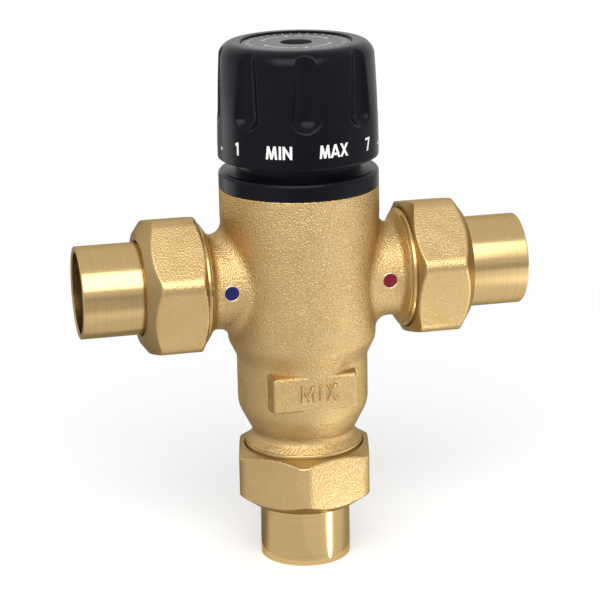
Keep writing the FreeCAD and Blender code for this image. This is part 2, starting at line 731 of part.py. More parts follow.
# ---- element and shuttle ----------------------------------------------------------------------------------
def element_piston():
    """Pin that the warm wax drives out of the element."""
    return rod(PISTON_R, PISTON_END, NOSE_TIP_Z + DIMPLE)


def wax_element():
    """Sealed wax capsule with its flange and guide neck."""
    flange_top = HUB_RISE + ELEMENT_FLANGE
    top = flange_top + ELEMENT_NECK
    hole_r = PISTON_R + PISTON_GAP
    hole_end = PISTON_END - PISTON_ROOM
    return turned([
        (0, HUB_RISE - ELEMENT_LENGTH),
        (ELEMENT_R, HUB_RISE - ELEMENT_LENGTH, ELEMENT_R / 2),
        (ELEMENT_R, HUB_RISE),
        (ELEMENT_FLANGE_R, HUB_RISE, EDGE),
        (ELEMENT_FLANGE_R, flange_top, EDGE),
        (ELEMENT_NECK_R, flange_top),
        (ELEMENT_NECK_R, top, EDGE),
        (hole_r, top),
        (hole_r, hole_end),
        (0, hole_end),
    ])


def shuttle():
    """Ring that closes on either seat, with a spoked hub for the element."""
    seal_depth = SHUTTLE_SEAL
    floor = PARTITION_R - RUNNING_GAP / 2 - seal_depth
    ring = turned([
        (SPRING_SHELF_R, -SHUTTLE_HALF),
        (SHUTTLE_R, -SHUTTLE_HALF, EDGE),
        (SHUTTLE_R, -seal_depth / 2),
        (floor, -seal_depth / 2),
        (floor, seal_depth / 2),
        (SHUTTLE_R, seal_depth / 2),
        (SHUTTLE_R, SHUTTLE_HALF, EDGE),
        (SHUTTLE_BORE_R, SHUTTLE_HALF),
        (SHUTTLE_BORE_R, -SPRING_SHELF),
        (SPRING_SHELF_R, -SPRING_SHELF),
    ])
    hub = tube(HUB_BORE_R, HUB_OUTER_R, -SPRING_SHELF, HUB_RISE)
    spokes = []
    for i in range(SPOKES):
        spoke = block(HUB_BORE_R + HUB_WALL / 2, SHUTTLE_BORE_R + EDGE, -SPOKE_WIDTH / 2, SPOKE_WIDTH / 2,
                      -SPRING_SHELF, HUB_RISE)
        spoke.rotate(CENTRE, Z_AXIS, 360 / SPOKES * (i + 0.5))
        spokes.append(spoke)
    return ring.multiFuse([hub] + spokes).removeSplitter()


def shuttle_seal():
    """Ring between the shuttle and the partition."""
    return ring_seal(PARTITION_R - RUNNING_GAP / 2 - SHUTTLE_SEAL / 2, 0, SHUTTLE_SEAL)


def return_spring():
    """Spring that lifts the shuttle off the hot seat's side."""
    middle = SPRING_SHELF_R - STOP_GAP - RETURN_WIRE / 2
    return coil_spring(middle, RETURN_WIRE, -CHAMBER_DEPTH, -SPRING_SHELF, RETURN_TURNS)


# ---- knob -------------------------------------------------------------------------------------------------
def knob_outside():
    """Slightly bulged cap with a rounded shoulder and a recess for the disc."""
    side_top = KNOB_R - KNOB_TOP_INSET
    shoulder_z = KNOB_TOP - KNOB_SHOULDER
    foot = Vector(KNOB_R, 0, KNOB_Z + KNOB_FOOT_ROUND)
    head = Vector(side_top, 0, shoulder_z)
    crown = Vector(side_top - KNOB_SHOULDER, 0, KNOB_TOP)
    middle = (foot + head) * 0.5 + Vector(KNOB_BULGE, 0, 0)
    turn = KNOB_SHOULDER * (1 - math.cos(math.radians(45)))
    shoulder = Vector(side_top - turn, 0, KNOB_TOP - turn)
    base = Vector(KNOB_R - KNOB_FOOT_ROUND, 0, KNOB_Z)
    points = [crown, Vector(0, 0, KNOB_TOP), Vector(0, 0, KNOB_Z), base, foot]
    edges = [Part.LineSegment(points[i], points[i + 1]).toShape() for i in range(len(points) - 1)]
    edges.append(Part.Arc(foot, middle, head).toShape())
    edges.append(Part.Arc(head, shoulder, crown).toShape())
    cap = Part.Face(Part.Wire(edges)).revolve(CENTRE, Z_AXIS, 360)
    recess = turned([
        (0, DISC_Z), (DISC_R + SEATED_GAP, DISC_Z), (DISC_R + SEATED_GAP, KNOB_TOP - EDGE),
        (DISC_R + SEATED_GAP + EDGE, KNOB_TOP), (DISC_R + SEATED_GAP + EDGE, KNOB_TOP + 1), (0, KNOB_TOP + 1),
    ])
    return cap.cut(recess)


def flute():
    """Tool for one finger scoop: a slim cone with a swelled taper at its foot, leaning with the knob's side."""
    foot_axis = KNOB_R + FLUTE_FOOT_R - FLUTE_FOOT_DEPTH
    top_axis = KNOB_R - KNOB_TOP_INSET / 2 + FLUTE_TOP_R - FLUTE_TOP_DEPTH
    foot = Vector(foot_axis, 0, KNOB_Z + FLUTE_FOOT)
    top = Vector(top_axis, 0, KNOB_Z + FLUTE_TOP)
    lean = top - foot
    length = lean.Length
    growth = (FLUTE_FOOT_R - FLUTE_TOP_R) / length
    end_h = length + KNOB_SHOULDER
    end_r = FLUTE_FOOT_R - growth * end_h
    skin_r = FLUTE_FOOT_R - FLUTE_FOOT_DEPTH
    half_r = (FLUTE_FOOT_R + skin_r) / 2 + FLUTE_RUN_OUT_SWELL
    tip_h = -2 * FLUTE_RUN_OUT
    edges = [
        Part.LineSegment(Vector(0, 0, tip_h), Vector(skin_r, 0, -FLUTE_RUN_OUT)).toShape(),
        Part.Arc(Vector(skin_r, 0, -FLUTE_RUN_OUT), Vector(half_r, 0, -FLUTE_RUN_OUT / 2),
                 Vector(FLUTE_FOOT_R, 0, 0)).toShape(),
        Part.LineSegment(Vector(FLUTE_FOOT_R, 0, 0), Vector(end_r, 0, end_h)).toShape(),
        Part.LineSegment(Vector(end_r, 0, end_h), Vector(0, 0, end_h)).toShape(),
        Part.LineSegment(Vector(0, 0, end_h), Vector(0, 0, tip_h)).toShape(),
    ]
    tool = Part.Face(Part.Wire(edges)).revolve(CENTRE, Z_AXIS, 360)
    tool.Placement = FreeCAD.Placement(foot, FreeCAD.Rotation(Z_AXIS, lean))
    return tool


def knob():
    """Moulded hand knob with eight flutes, a splined hub and a stop inside its skirt."""
    cap = knob_outside()
    tools = []
    for i in range(FLUTES):
        tool = flute()
        tool.rotate(CENTRE, Z_AXIS, KNOB_TURN - 90 + 360 / FLUTES * i)
        tools.append(tool)
    for tool in tools:
        cap = cap.cut(tool)
    roof = DISC_Z - KNOB_ROOF
    hollow = turned([
        (HUB_R, KNOB_Z - 1), (KNOB_INNER_R, KNOB_Z - 1), (KNOB_INNER_R, roof, KNOB_ROOF / 2),
        (HUB_R, roof, KNOB_ROOF / 4),
    ])
    below_hub = rod(HUB_R + EDGE, KNOB_Z - 1, SPLINE_Z)
    socket = splined(SPINDLE_R + SEATED_GAP, SPLINE_Z - 1, SPINDLE_TOP)
    well = rod(DISC_HOLE_R, SCREW_SEAT_Z, DISC_Z + 1)
    hole = rod(SCREW_SHANK_R + RUNNING_GAP, SPINDLE_TOP - 1, SCREW_SEAT_Z + 1)
    cap = cap.cut(hollow).cut(below_hub).cut(socket).cut(well).cut(hole)
    return cap.fuse(knob_stop())


def knob_stop():
    """Lug inside the skirt that meets the collar's stop at MIN and at MAX."""
    inner = COLLAR_INNER_R + STOP_GAP
    return sector(inner, KNOB_INNER_R + EDGE, STOP_Z, STOP_Z + STOP_HEIGHT, KNOB_TURN - 90, STOP_WIDTH)


def knob_disc():
    """Flat disc that covers the knob's roof, open in the middle for the screw."""
    return turned([
        (DISC_HOLE_R, DISC_Z),
        (DISC_R, DISC_Z),
        (DISC_R, DISC_Z + DISC_THICK, DISC_ROUND),
        (DISC_HOLE_R, DISC_Z + DISC_THICK, DISC_ROUND),
    ])


def knob_screw():
    """Pan-head screw with a cross recess, down into the spindle."""
    head = turned([
        (0, SCREW_SEAT_Z),
        (SCREW_HEAD_R, SCREW_SEAT_Z),
        (SCREW_HEAD_R, SCREW_SEAT_Z + SCREW_HEAD, SCREW_HEAD / 2),
        (0, SCREW_SEAT_Z + SCREW_HEAD),
    ])
    shank = rod(SCREW_SHANK_R, SPINDLE_TOP - SCREW_SHANK + 1, SCREW_SEAT_Z)
    screw = head.fuse(shank)
    top = SCREW_SEAT_Z + SCREW_HEAD
    for turn in (0, 90):
        slot = block(-SCREW_HEAD_R / 2, SCREW_HEAD_R / 2, -SCREW_HEAD / 4, SCREW_HEAD / 4,
                     top - SCREW_HEAD / 2, top + 1)
        slot.rotate(CENTRE, Z_AXIS, turn + KNOB_TURN)
        screw = screw.cut(slot)
    return screw


# ---- pieces -----------------------------------------------------------------------------------------------
def pieces():
    """Every piece of the valve by name."""
    made = {
        "valve_body": valve_body(),
        "cold_marker": marker(-1, MARKER_R),
        "hot_marker": marker(1, MARKER_R),
        "bonnet": bonnet(),
        "bonnet_o_ring": bonnet_seal(),
        "index_collar": index_collar(),
        "spindle": spindle(),
        "spindle_o_rings": spindle_seals(),
        "thrust_washer": thrust_washer(),
        "spindle_circlip": spindle_circlip(),
        "carrier": carrier(),
        "carrier_retaining_ring": carrier_retaining_ring(),
        "overtravel_plunger": overtravel_plunger(),
        "overtravel_spring": overtravel_spring(),
        "element_piston": element_piston(),
        "wax_element": wax_element(),
        "shuttle": shuttle(),
        "shuttle_o_ring": shuttle_seal(),
        "return_spring": return_spring(),
        "knob": knob(),
        "knob_disc": knob_disc(),
        "knob_screw": knob_screw(),
    }
    for port in PORTS:
        made[port.name + "_union_nut"] = union_nut(port)
        made[port.name + "_tailpiece"] = tailpiece(port)
        made[port.name + "_gasket"] = gasket(port)
    return made


def export():
    """Write one STEP file for each piece."""
    os.makedirs("parts", exist_ok=True)
    for name, shape in pieces().items():
        shape.translate(Vector(0, 0, MIX.mouth))
        shape.exportStep(os.path.join("parts", name + ".step"))
        box = shape.BoundBox
        print(f"{name:24s} valid {shape.isValid()} solids {len(shape.Solids)} volume {shape.Volume:9.1f} "
              f"z {box.ZMin:7.2f} {box.ZMax:7.2f}")


export()
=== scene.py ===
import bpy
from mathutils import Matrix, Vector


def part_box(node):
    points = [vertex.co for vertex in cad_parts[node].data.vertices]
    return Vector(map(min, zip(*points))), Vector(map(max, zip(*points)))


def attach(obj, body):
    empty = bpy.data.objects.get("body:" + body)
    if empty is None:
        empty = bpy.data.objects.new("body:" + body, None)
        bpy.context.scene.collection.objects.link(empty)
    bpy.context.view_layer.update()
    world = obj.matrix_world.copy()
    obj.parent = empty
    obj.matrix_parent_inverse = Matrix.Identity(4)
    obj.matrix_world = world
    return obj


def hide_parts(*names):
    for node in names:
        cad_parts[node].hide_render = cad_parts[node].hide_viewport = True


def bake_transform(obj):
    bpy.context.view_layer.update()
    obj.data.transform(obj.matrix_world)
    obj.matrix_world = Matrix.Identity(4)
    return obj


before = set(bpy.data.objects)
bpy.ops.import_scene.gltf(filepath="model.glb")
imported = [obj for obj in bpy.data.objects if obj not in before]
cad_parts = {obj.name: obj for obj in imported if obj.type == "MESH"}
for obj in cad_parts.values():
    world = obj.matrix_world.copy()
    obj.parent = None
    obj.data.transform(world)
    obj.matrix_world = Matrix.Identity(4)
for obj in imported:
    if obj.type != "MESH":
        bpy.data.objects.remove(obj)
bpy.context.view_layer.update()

import logging
import math
from dataclasses import dataclass, field
from enum import Enum
from typing import Callable, Sequence, Union

import bmesh
import bpy
import numpy as np
from mathutils import Matrix, Vector

log = logging.getLogger("mixing_valve")

MM = 0.001
FULL_TURN = 2 * math.pi
Number = Union[int, float]
Radii = Union[float, np.ndarray]
Colour = tuple[float, float, float]


# ---- arithmetic on node sockets -----------------------------------------------------------------------
def math_method(operation: str, meaning: str, swapped: bool = False) -> Callable:
    """Make a method of Term that adds one Math node.

    Args:
        operation: Name of the Math node's operation.
        meaning: The method's docstring.
        swapped: True if the other operand comes first.

    Returns:
        The method.
    """
    def method(self: "Term", other: "Operand") -> "Term":
        """Add the node. The operator's own meaning takes this text's place."""
        first, second = (other, self) if swapped else (self, other)
        return self.nodes.math(operation, first, second)

    method.__doc__ = meaning
    return method


class Term:
    """Output socket that takes part in Python arithmetic by adding Math nodes."""

    def __init__(self, nodes: "Nodes", socket: Union[bpy.types.NodeSocket, None]) -> None:
        """Keep the socket and the maker of its tree's nodes."""
        self.nodes = nodes
        self.socket = socket

    __add__ = math_method("ADD", "Sum.")
    __radd__ = math_method("ADD", "Sum with a number in front.", swapped=True)
    __sub__ = math_method("SUBTRACT", "Difference.")
    __rsub__ = math_method("SUBTRACT", "Difference with a number in front.", swapped=True)
    __mul__ = math_method("MULTIPLY", "Product.")
    __rmul__ = math_method("MULTIPLY", "Product with a number in front.", swapped=True)
    __gt__ = math_method("GREATER_THAN", "One where this is greater, else nought.")

    def root(self) -> "Term":
        """Square root."""
        return self.nodes.math("SQRT", self)

    def size(self) -> "Term":
        """Absolute value."""
        return self.nodes.math("ABSOLUTE", self)

    def step(self, low: Number, high: Number) -> "Term":
        """Smooth step from nought at the low value to one at the high value."""
        return self.nodes.add("ShaderNodeMapRange", {"interpolation_type": "SMOOTHSTEP"},
                              {"Value": self, "From Min": low, "From Max": high})


Operand = Union[Term, Number]
Feed = Union[Term, Number, str, bool, Sequence[float], bpy.types.ID]


class Nodes:
    """Adds nodes to one shader, world or geometry tree."""

    def __init__(self, tree: bpy.types.NodeTree) -> None:
        """Keep the tree that gets the nodes."""
        self.tree = tree

    @classmethod
    def fresh(cls, owner: bpy.types.ID) -> "Nodes":
        """Empty the tree of a material or a world.

        Args:
            owner: The material or the world.

        Returns:
            The maker of its nodes.
        """
        owner.use_nodes = True
        owner.node_tree.nodes.clear()
        return cls(owner.node_tree)

    def add(self, kind: str, settings: dict = {}, inputs: dict = {}, output: Union[int, str] = 0) -> Term:
        """Add a node.

        Args:
            kind: The node's type.
            settings: The node's own properties, set first. `stops` are a ramp's (position, colour) pairs.
            inputs: Values or links, by the input's name or number.
            output: The output to return.

        Returns:
            The chosen output, wrapped.
        """
        node = self.tree.nodes.new(kind)
        for name, value in settings.items():
            if name == "stops":
                self._stops(node.color_ramp, value)
            else:
                setattr(node, name, value)
        for name, value in inputs.items():
            if isinstance(value, Term):
                self.tree.links.new(value.socket, node.inputs[name])
            else:
                node.inputs[name].default_value = value
        return Term(self, node.outputs[output] if len(node.outputs) else None)

    @staticmethod
    def _stops(ramp: bpy.types.ColorRamp, stops: Sequence[tuple]) -> None:
        """Set a ramp's stops.

        Args:
            ramp: The colour ramp.
            stops: (position, colour) pairs, at least two.
        """
        while len(ramp.elements) < len(stops):
            ramp.elements.new(0.5)
        for element, (position, colour) in zip(ramp.elements, stops):
            element.position = position
            element.color = colour

    def math(self, operation: str, *operands: Operand) -> Term:
        """Add a Math node."""
        return self.add("ShaderNodeMath", {"operation": operation}, dict(enumerate(operands)))

    def place(self) -> Term:
        """Object coordinates, in metres."""
        return self.add("ShaderNodeTexCoord", output="Object")

    def axes(self, vector: Term) -> tuple[Term, Term, Term]:
        """The three parts of a vector."""
        node = self.add("ShaderNodeSeparateXYZ", {}, {0: vector}).socket.node
        return tuple(Term(self, socket) for socket in node.outputs)

    def vector(self, x: Operand, y: Operand, z: Operand) -> Term:
        """Vector of three parts."""
        return self.add("ShaderNodeCombineXYZ", {}, {"X": x, "Y": y, "Z": z})

    def rays(self, *kinds: str) -> Term:
        """One for rays of these kinds, else nought."""
        first, *others = [self.add("ShaderNodeLightPath", output=f"Is {kind} Ray") for kind in kinds]
        return sum(others, first)

    def noise(self, vector: Term, grain: float, detail: float = 2.0, roughness: float = 0.5) -> Term:
        """Noise whose features are about `grain` millimetres wide.

        Args:
            vector: Where to read it.
            grain: Feature size in millimetres.
            detail: Octaves.
            roughness: Weight of the finer octaves.

        Returns:
            The noise's value, about 0.5 in the mean.
        """
        return self.add("ShaderNodeTexNoise", {"noise_dimensions": "3D"},
                        {"Vector": vector, "Scale": 1 / (grain * MM), "Detail": detail, "Roughness": roughness})

    def lines(self, along: Term, pitch: float, detail: float, roughness: float = 0.6) -> Term:
        """Irregular parallel lines.

        Args:
            along: The coordinate across the lines, in metres.
            pitch: Their spacing in millimetres.
            detail: Octaves.
            roughness: Weight of the finer octaves.

        Returns:
            The lines' height, about 0.5 in the mean.
        """
        return self.add("ShaderNodeTexNoise", {"noise_dimensions": "1D"},
                        {"W": along, "Scale": 1 / (pitch * MM), "Detail": detail, "Roughness": roughness})

    def blend(self, factor: Operand, first: Feed, second: Feed) -> Term:
        """Colour between two others."""
        return self.add("ShaderNodeMix", {"data_type": "RGBA"}, {0: factor, 6: first, 7: second}, output=2)

    def bump(self, height: Term, depth: float, under: Union[Term, None] = None) -> Term:
        """Normal of a relief.

        Args:
            height: The relief, from nought to one.
            depth: Its depth in millimetres.
            under: A relief that it lies on.

        Returns:
            The normal.
        """
        inputs = {"Height": height, "Distance": depth * MM, "Strength": 1.0}
        return self.add("ShaderNodeBump", {}, inputs if under is None else {**inputs, "Normal": under})


def rgba(colour: Sequence[float]) -> tuple[float, float, float, float]:
    """Colour with full cover."""
    return (*colour, 1.0)


# ---- finishes -----------------------------------------------------------------------------------------
@dataclass(frozen=True)
class Finish:
    """Base of all finishes: one material, made once."""

    name: str
    slot: str

    def material(self) -> bpy.types.Material:
        """Find or make the finish's material.

        Returns:
            The material, made at its first use.
        """
        made = bpy.data.materials.get(self.name)
        if made is None:
            made = bpy.data.materials.new(self.name)
            nodes = Nodes.fresh(made)
            shader = nodes.add("ShaderNodeBsdfPrincipled", {}, self.sockets(nodes))
            nodes.add("ShaderNodeOutputMaterial", {}, {"Surface": shader})
        return made

    def sockets(self, nodes: Nodes) -> dict[str, Feed]:
        """Values and links of the principled shader, by socket name."""
        raise NotImplementedError


@dataclass(frozen=True)
class ForgedBrass(Finish):
    """Brass as it leaves the die and the tumbling drum: a peened orange-peel skin with soft stains."""

    colour: Colour = (0.59, 0.407, 0.18)
    pale: Colour = (0.67, 0.49, 0.24)
    # Colour of the painted shade in the peel's hollows.
    hollow_shade_colour: Colour = (0.44, 0.29, 0.115)
    rim: Colour = (0.6, 0.5, 0.36)
    peel: float = 0.46
    peel_depth: float = 0.16
    peel_step: tuple = (0.45, 0.8)
    # Share of the painted shade that is mixed into the peel's hollows.
    hollow_shade_share: float = 0.35
    grit: float = 0.22
    grit_depth: float = 0.035
    swell: float = 8.0
    swell_depth: float = 0.16
    stain: float = 13.6
    stain_step: tuple = (0.35, 0.75)
    pale_share: float = 0.5
    metal: float = 0.89
    roughness: float = 0.29
    spread: float = 0.1
    cut_gloss: float = 0.1
    cut_side: float = 0.0
    cut_low: float = 0.0
    cut_fade: float = 0.15

    def bare(self, nodes: Nodes, at: Term) -> Operand:
        """Tell where the skin was cut away on the lathe.

        Args:
            nodes: Maker of the material's nodes.
            at: Object coordinates.

        Returns:
            One on the cut faces, else nought.
        """
        if not self.cut_side:
            return 0.0
        x, _, z = nodes.axes(at)
        side = x.size().step(self.cut_side * MM, (self.cut_side + self.cut_fade) * MM)
        low = z.step(self.cut_low * MM, (self.cut_low - self.cut_fade) * MM)
        return nodes.math("MAXIMUM", side, low)

    def sockets(self, nodes: Nodes) -> dict[str, Feed]:
        """Grain, slow waviness, stains and a gloss that follows the stains.

        Args:
            nodes: Maker of the material's nodes.

        Returns:
            The shader's values and links, by socket name.
        """
        at = nodes.place()
        bare = self.bare(nodes, at)
        peel = nodes.noise(at, self.peel, detail=2.0, roughness=0.45)
        grit = nodes.noise(at, self.grit, detail=1.0)
        swell = nodes.noise(at, self.swell, detail=1.0, roughness=0.4)
        stain = nodes.noise(at, self.stain, detail=3.0, roughness=0.6)
        colour = nodes.blend(stain.step(*self.stain_step) * self.pale_share, rgba(self.colour), rgba(self.pale))
        # Painted shade: the peel's hollows are darkened towards a brown colour, standing in for the grain's own
        # shading.
        shade_in_hollows = (1 - peel).step(*self.peel_step) * (1 - bare) * self.hollow_shade_share
        relief = nodes.bump(swell * (1 - bare), self.swell_depth)
        relief = nodes.bump(peel * (1 - bare), self.peel_depth, relief)
        return {
            "Base Color": nodes.blend(shade_in_hollows, colour, rgba(self.hollow_shade_colour)),
            "Metallic": self.metal,
            "Roughness": self.roughness - self.spread / 2 + self.spread * stain - self.cut_gloss * bare,
            "Normal": nodes.bump(grit * (1 - bare), self.grit_depth, relief),
            "Specular Tint": rgba(self.rim),
        }


class Axis(Enum):
    """Axis that a turned piece was turned about."""

    ACROSS = "across"
    UPRIGHT = "upright"


@dataclass(frozen=True)
class TurnedMetal(Finish):
    """Metal turned on a lathe: fine rings round its axis."""

    colour: Colour = (0.62, 0.445, 0.205)
    tint: Colour = (0.56, 0.385, 0.16)
    tint_step: tuple = (0.35, 0.7)
    tint_share: float = 0.4
    axis: Axis = Axis.ACROSS
    axis_height: float = 0.0
    pitch: float = 0.11
    coarse: float = 9.0
    depth: float = 0.0016
    rim: Colour = (0.7, 0.6, 0.45)
    roughness: float = 0.18
    polish: float = 0.04
    spread: float = 0.1
    cloud: float = 6.0

    def sockets(self, nodes: Nodes) -> dict[str, Feed]:
        """Rings from a line pattern that runs along the axis and outwards on the faces.

        Args:
            nodes: Maker of the material's nodes.

        Returns:
            The shader's values and links, by socket name.
        """
        at = nodes.place()
        x, y, z = nodes.axes(at)
        if self.axis is Axis.ACROSS:
            along, rise = x.size(), z - self.axis_height
            out = (y * y + rise * rise).root()
        else:
            along, out = z, (x * x + y * y).root()
        way = along + out
        fine = nodes.lines(way, self.pitch, detail=1.0)
        coarse = nodes.lines(way, self.pitch * self.coarse, detail=2.0)
        cloud = nodes.noise(at, self.cloud, detail=2.0, roughness=0.6)
        tinted = coarse.step(*self.tint_step) * self.tint_share
        return {
            "Base Color": nodes.blend(tinted, rgba(self.colour), rgba(self.tint)),
            "Metallic": 1.0,
            "Roughness": self.roughness - self.polish + self.spread * cloud,
            "Normal": nodes.bump(fine, self.depth, nodes.bump(coarse, self.depth)),
            "Specular Tint": rgba(self.rim),
        }


@dataclass(frozen=True)
class Moulded(Finish):
    """Moulded plastic, rubber, fibre, ink or enamel: a plain colour with a fine skin."""

    colour: Colour = (0.012, 0.012, 0.014)
    mark: Colour = (0.02, 0.02, 0.022)
    mark_step: tuple = (0.4, 0.7)
    roughness: float = 0.2
    spread: float = 0.06
    cloud: float = 7.0
    grain: float = 0.4
    depth: float = 0.002
    shine: float = 0.5
    tint: Colour = (1.0, 1.0, 1.0)

    def sockets(self, nodes: Nodes) -> dict[str, Feed]:
        """Slight mottling of colour and gloss, and a shallow skin.

        Args:
            nodes: Maker of the material's nodes.

        Returns:
            The shader's values and links, by socket name.
        """
        at = nodes.place()
        cloud = nodes.noise(at, self.cloud, detail=3.0, roughness=0.6)
        return {
            "Base Color": nodes.blend(cloud.step(*self.mark_step), rgba(self.colour), rgba(self.mark)),
            "Roughness": self.roughness - self.spread / 2 + self.spread * cloud,
            "Normal": nodes.bump(nodes.noise(at, self.grain), self.depth),
            "Specular IOR Level": self.shine,
            "Specular Tint": rgba(self.tint),
        }


# ---- mesh tools ---------------------------------------------------------------------------------------
def quads(rows: int, columns: int, closed: bool) -> np.ndarray:
    """Faces of a grid whose columns go right round.

    Args:
        rows: Number of rows of points.
        columns: Number of points in a row.
        closed: True if the last row joins the first.

    Returns:
        Four point numbers for each face.
    """
    row = np.arange(rows if closed else rows - 1)[:, None]
    column = np.arange(columns)[None, :]
    ahead = (column + 1) % columns
    above = (row + 1) % rows
    faces = [row * columns + column, row * columns + ahead, above * columns + ahead, above * columns + column]
    return np.stack([f.ravel() for f in faces], axis=1)


def volume(points: np.ndarray, faces: np.ndarray) -> float:
    """Measure a closed mesh of quads.

    Args:
        points: Its points.
        faces: Four point numbers for each face.

    Returns:
        Its volume, negative where its faces point inwards.
    """
    a, b, c, d = (points[faces[:, i]] for i in range(4))
    first = np.einsum("ij,ij->i", a, np.cross(b, c))
    second = np.einsum("ij,ij->i", a, np.cross(c, d))
    return float(first.sum() + second.sum()) / 6


def soft_min(first: Radii, second: Radii, round_off: float) -> Radii:
    """Smaller of two, with the corner between them rounded."""
    near = np.clip(round_off - np.abs(first - second), 0, None) / round_off
    return np.minimum(first, second) - near * near * round_off / 4


def arc(centre: tuple[float, float], radius: float, start: float, end: float, steps: int) -> list[tuple]:
    """Points on an arc.

    Args:
        centre: Its centre.
        radius: Its radius.
        start: First angle in degrees.
        end: Last angle in degrees.
        steps: Number of spans.

    Returns:
        The points.
    """
    angles = np.radians(np.linspace(start, end, steps + 1))
    return [(centre[0] + radius * math.cos(a), centre[1] + radius * math.sin(a)) for a in angles]


def spaced(low: float, high: float, step: float) -> list[float]:
    """Even values between two ends, both left out."""
    count = max(1, round(abs(high - low) / step))
    return [low + (high - low) * i / count for i in range(1, count)]


def round_angles(columns: int) -> np.ndarray:
    """Even angles over a full turn, in radians."""
    return np.linspace(0, FULL_TURN, columns, endpoint=False)


def turned_grid(rows: Sequence[tuple[Radii, float]], columns: int) -> np.ndarray:
    """Points of rows that go round Z.

    Args:
        rows: Radius, one for the row or one for each column, and height of each row.
        columns: Number of points in a row.

    Returns:
        Rows by columns by three.
    """
    angles = round_angles(columns)
    return np.array([np.stack([radius * np.cos(angles), radius * np.sin(angles), np.full(columns, height)], 1)
                     for radius, height in rows])


def plain_mesh(name: str, points: np.ndarray, faces: list) -> bpy.types.Mesh:
    """Make a mesh.

    Args:
        name: Its name.
        points: Its points, in metres.
        faces: The point numbers of each face.

    Returns:
        The mesh.
    """
    mesh = bpy.data.meshes.new(name)
    mesh.from_pydata(points.tolist(), [], faces)
    mesh.update()
    return mesh


def ring_mesh(name: str, points: np.ndarray) -> bpy.types.Mesh:
    """Closed mesh whose rows and columns both go right round, as a ring's do.

    Args:
        name: The mesh's name.
        points: Rows by columns by three, in millimetres.

    Returns:
        The mesh, in metres, its faces outward.
    """
    flat = points.reshape(-1, 3) * MM
    faces = quads(*points.shape[:2], True)
    return plain_mesh(name, flat, (faces[:, ::-1] if volume(flat, faces) < 0 else faces).tolist())


def closed_mesh(name: str, work: bmesh.types.BMesh) -> bpy.types.Mesh:
    """Turn a work mesh into a plain one, its faces outward.

    Args:
        name: The plain mesh's name.
        work: The work mesh, which is freed.

    Returns:
        The plain mesh.
    """
    bmesh.ops.recalc_face_normals(work, faces=work.faces[:])
    mesh = bpy.data.meshes.new(name)
    work.to_mesh(mesh)
    work.free()
    return mesh


def absorb(work: bmesh.types.BMesh, mesh: bpy.types.Mesh) -> None:
    """Move a plain mesh into a work mesh."""
    work.from_mesh(mesh)
    bpy.data.meshes.remove(mesh)


def prism(work: bmesh.types.BMesh, outline: Sequence[tuple], low: float, high: float) -> list:
    """Add an upright prism to a work mesh.

    Args:
        work: The work mesh.
        outline: The prism's corners.
        low: Height of its back.
        high: Height of its face.

    Returns:
        Its back and its face.
    """
    back, front = ([work.verts.new((x, y, z)) for x, y in outline] for z in (low, high))
    caps = [work.faces.new(back[::-1]), work.faces.new(front)]
    for i in range(len(outline)):
        ahead = (i + 1) % len(outline)
        work.faces.new((back[i], back[ahead], front[ahead], front[i]))
    return caps


def link(name: str, data: bpy.types.ID) -> bpy.types.Object:
    """Put a mesh, a lamp or a camera into the scene.

    Args:
        name: The object's name.
        data: What it shows.

    Returns:
        The object, at the origin.
    """
    made = bpy.data.objects.new(name, data)
    bpy.context.scene.collection.objects.link(made)
    return made


def dressed(mesh: bpy.types.Mesh, finish: Finish, sharp: float) -> bpy.types.Object:
    """Object for a mesh in its finish.

    Args:
        mesh: The mesh, which keeps its materials where it has more than one.
        finish: The finish.
        sharp: Angle in degrees past which an edge stays sharp, or nought for flat faces.

    Returns:
        The object, with the mesh's name.
    """
    if len(mesh.materials) < 2:
        mesh.materials.clear()
        mesh.materials.append(finish.material())
        mesh.polygons.foreach_set("material_index", np.zeros(len(mesh.polygons), np.int32))
    if sharp:
        mesh.shade_smooth()
        mesh.set_sharp_from_angle(angle=math.radians(sharp))
    return link(mesh.name, mesh)


def finish_piece(mesh: bpy.types.Mesh, finish: Finish, sharp: float, body: str, *nodes: str) -> None:
    """Dress a mesh, put it on its body and report it.

    Args:
        mesh: The piece's mesh, which gives it its name.
        finish: Its finish.
        sharp: Angle in degrees past which an edge stays sharp, or nought for flat faces.
        body: The body that carries it.
        nodes: The CAD nodes that it stands for.
    """
    piece = dressed(mesh, finish, sharp)
    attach(piece, body)
    if nodes:
        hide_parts(*nodes)
    log.info("%s: %d faces on %s", piece.name, len(mesh.polygons), body)


# ---- studio -------------------------------------------------------------------------------------------
@dataclass
class Lamp:
    """Rectangular lamp that faces the valve."""

    name: str
    turn: float
    rise: float
    reach: float
    width: float
    height: float
    power: float

    def build(self, aim: Vector) -> None:
        """Make the lamp.

        Args:
            aim: The point that it faces.
        """
        turn, rise = math.radians(self.turn), math.radians(self.rise)
        out = Vector((math.sin(turn) * math.cos(rise), -math.cos(turn) * math.cos(rise), math.sin(rise)))
        data = bpy.data.lights.new(self.name, "AREA")
        data.shape = "RECTANGLE"
        data.size, data.size_y = self.width, self.height
        data.energy = self.power
        lamp = link(self.name, data)
        lamp.location = aim + out * self.reach
        lamp.rotation_euler = out.to_track_quat("Z", "Y").to_euler()


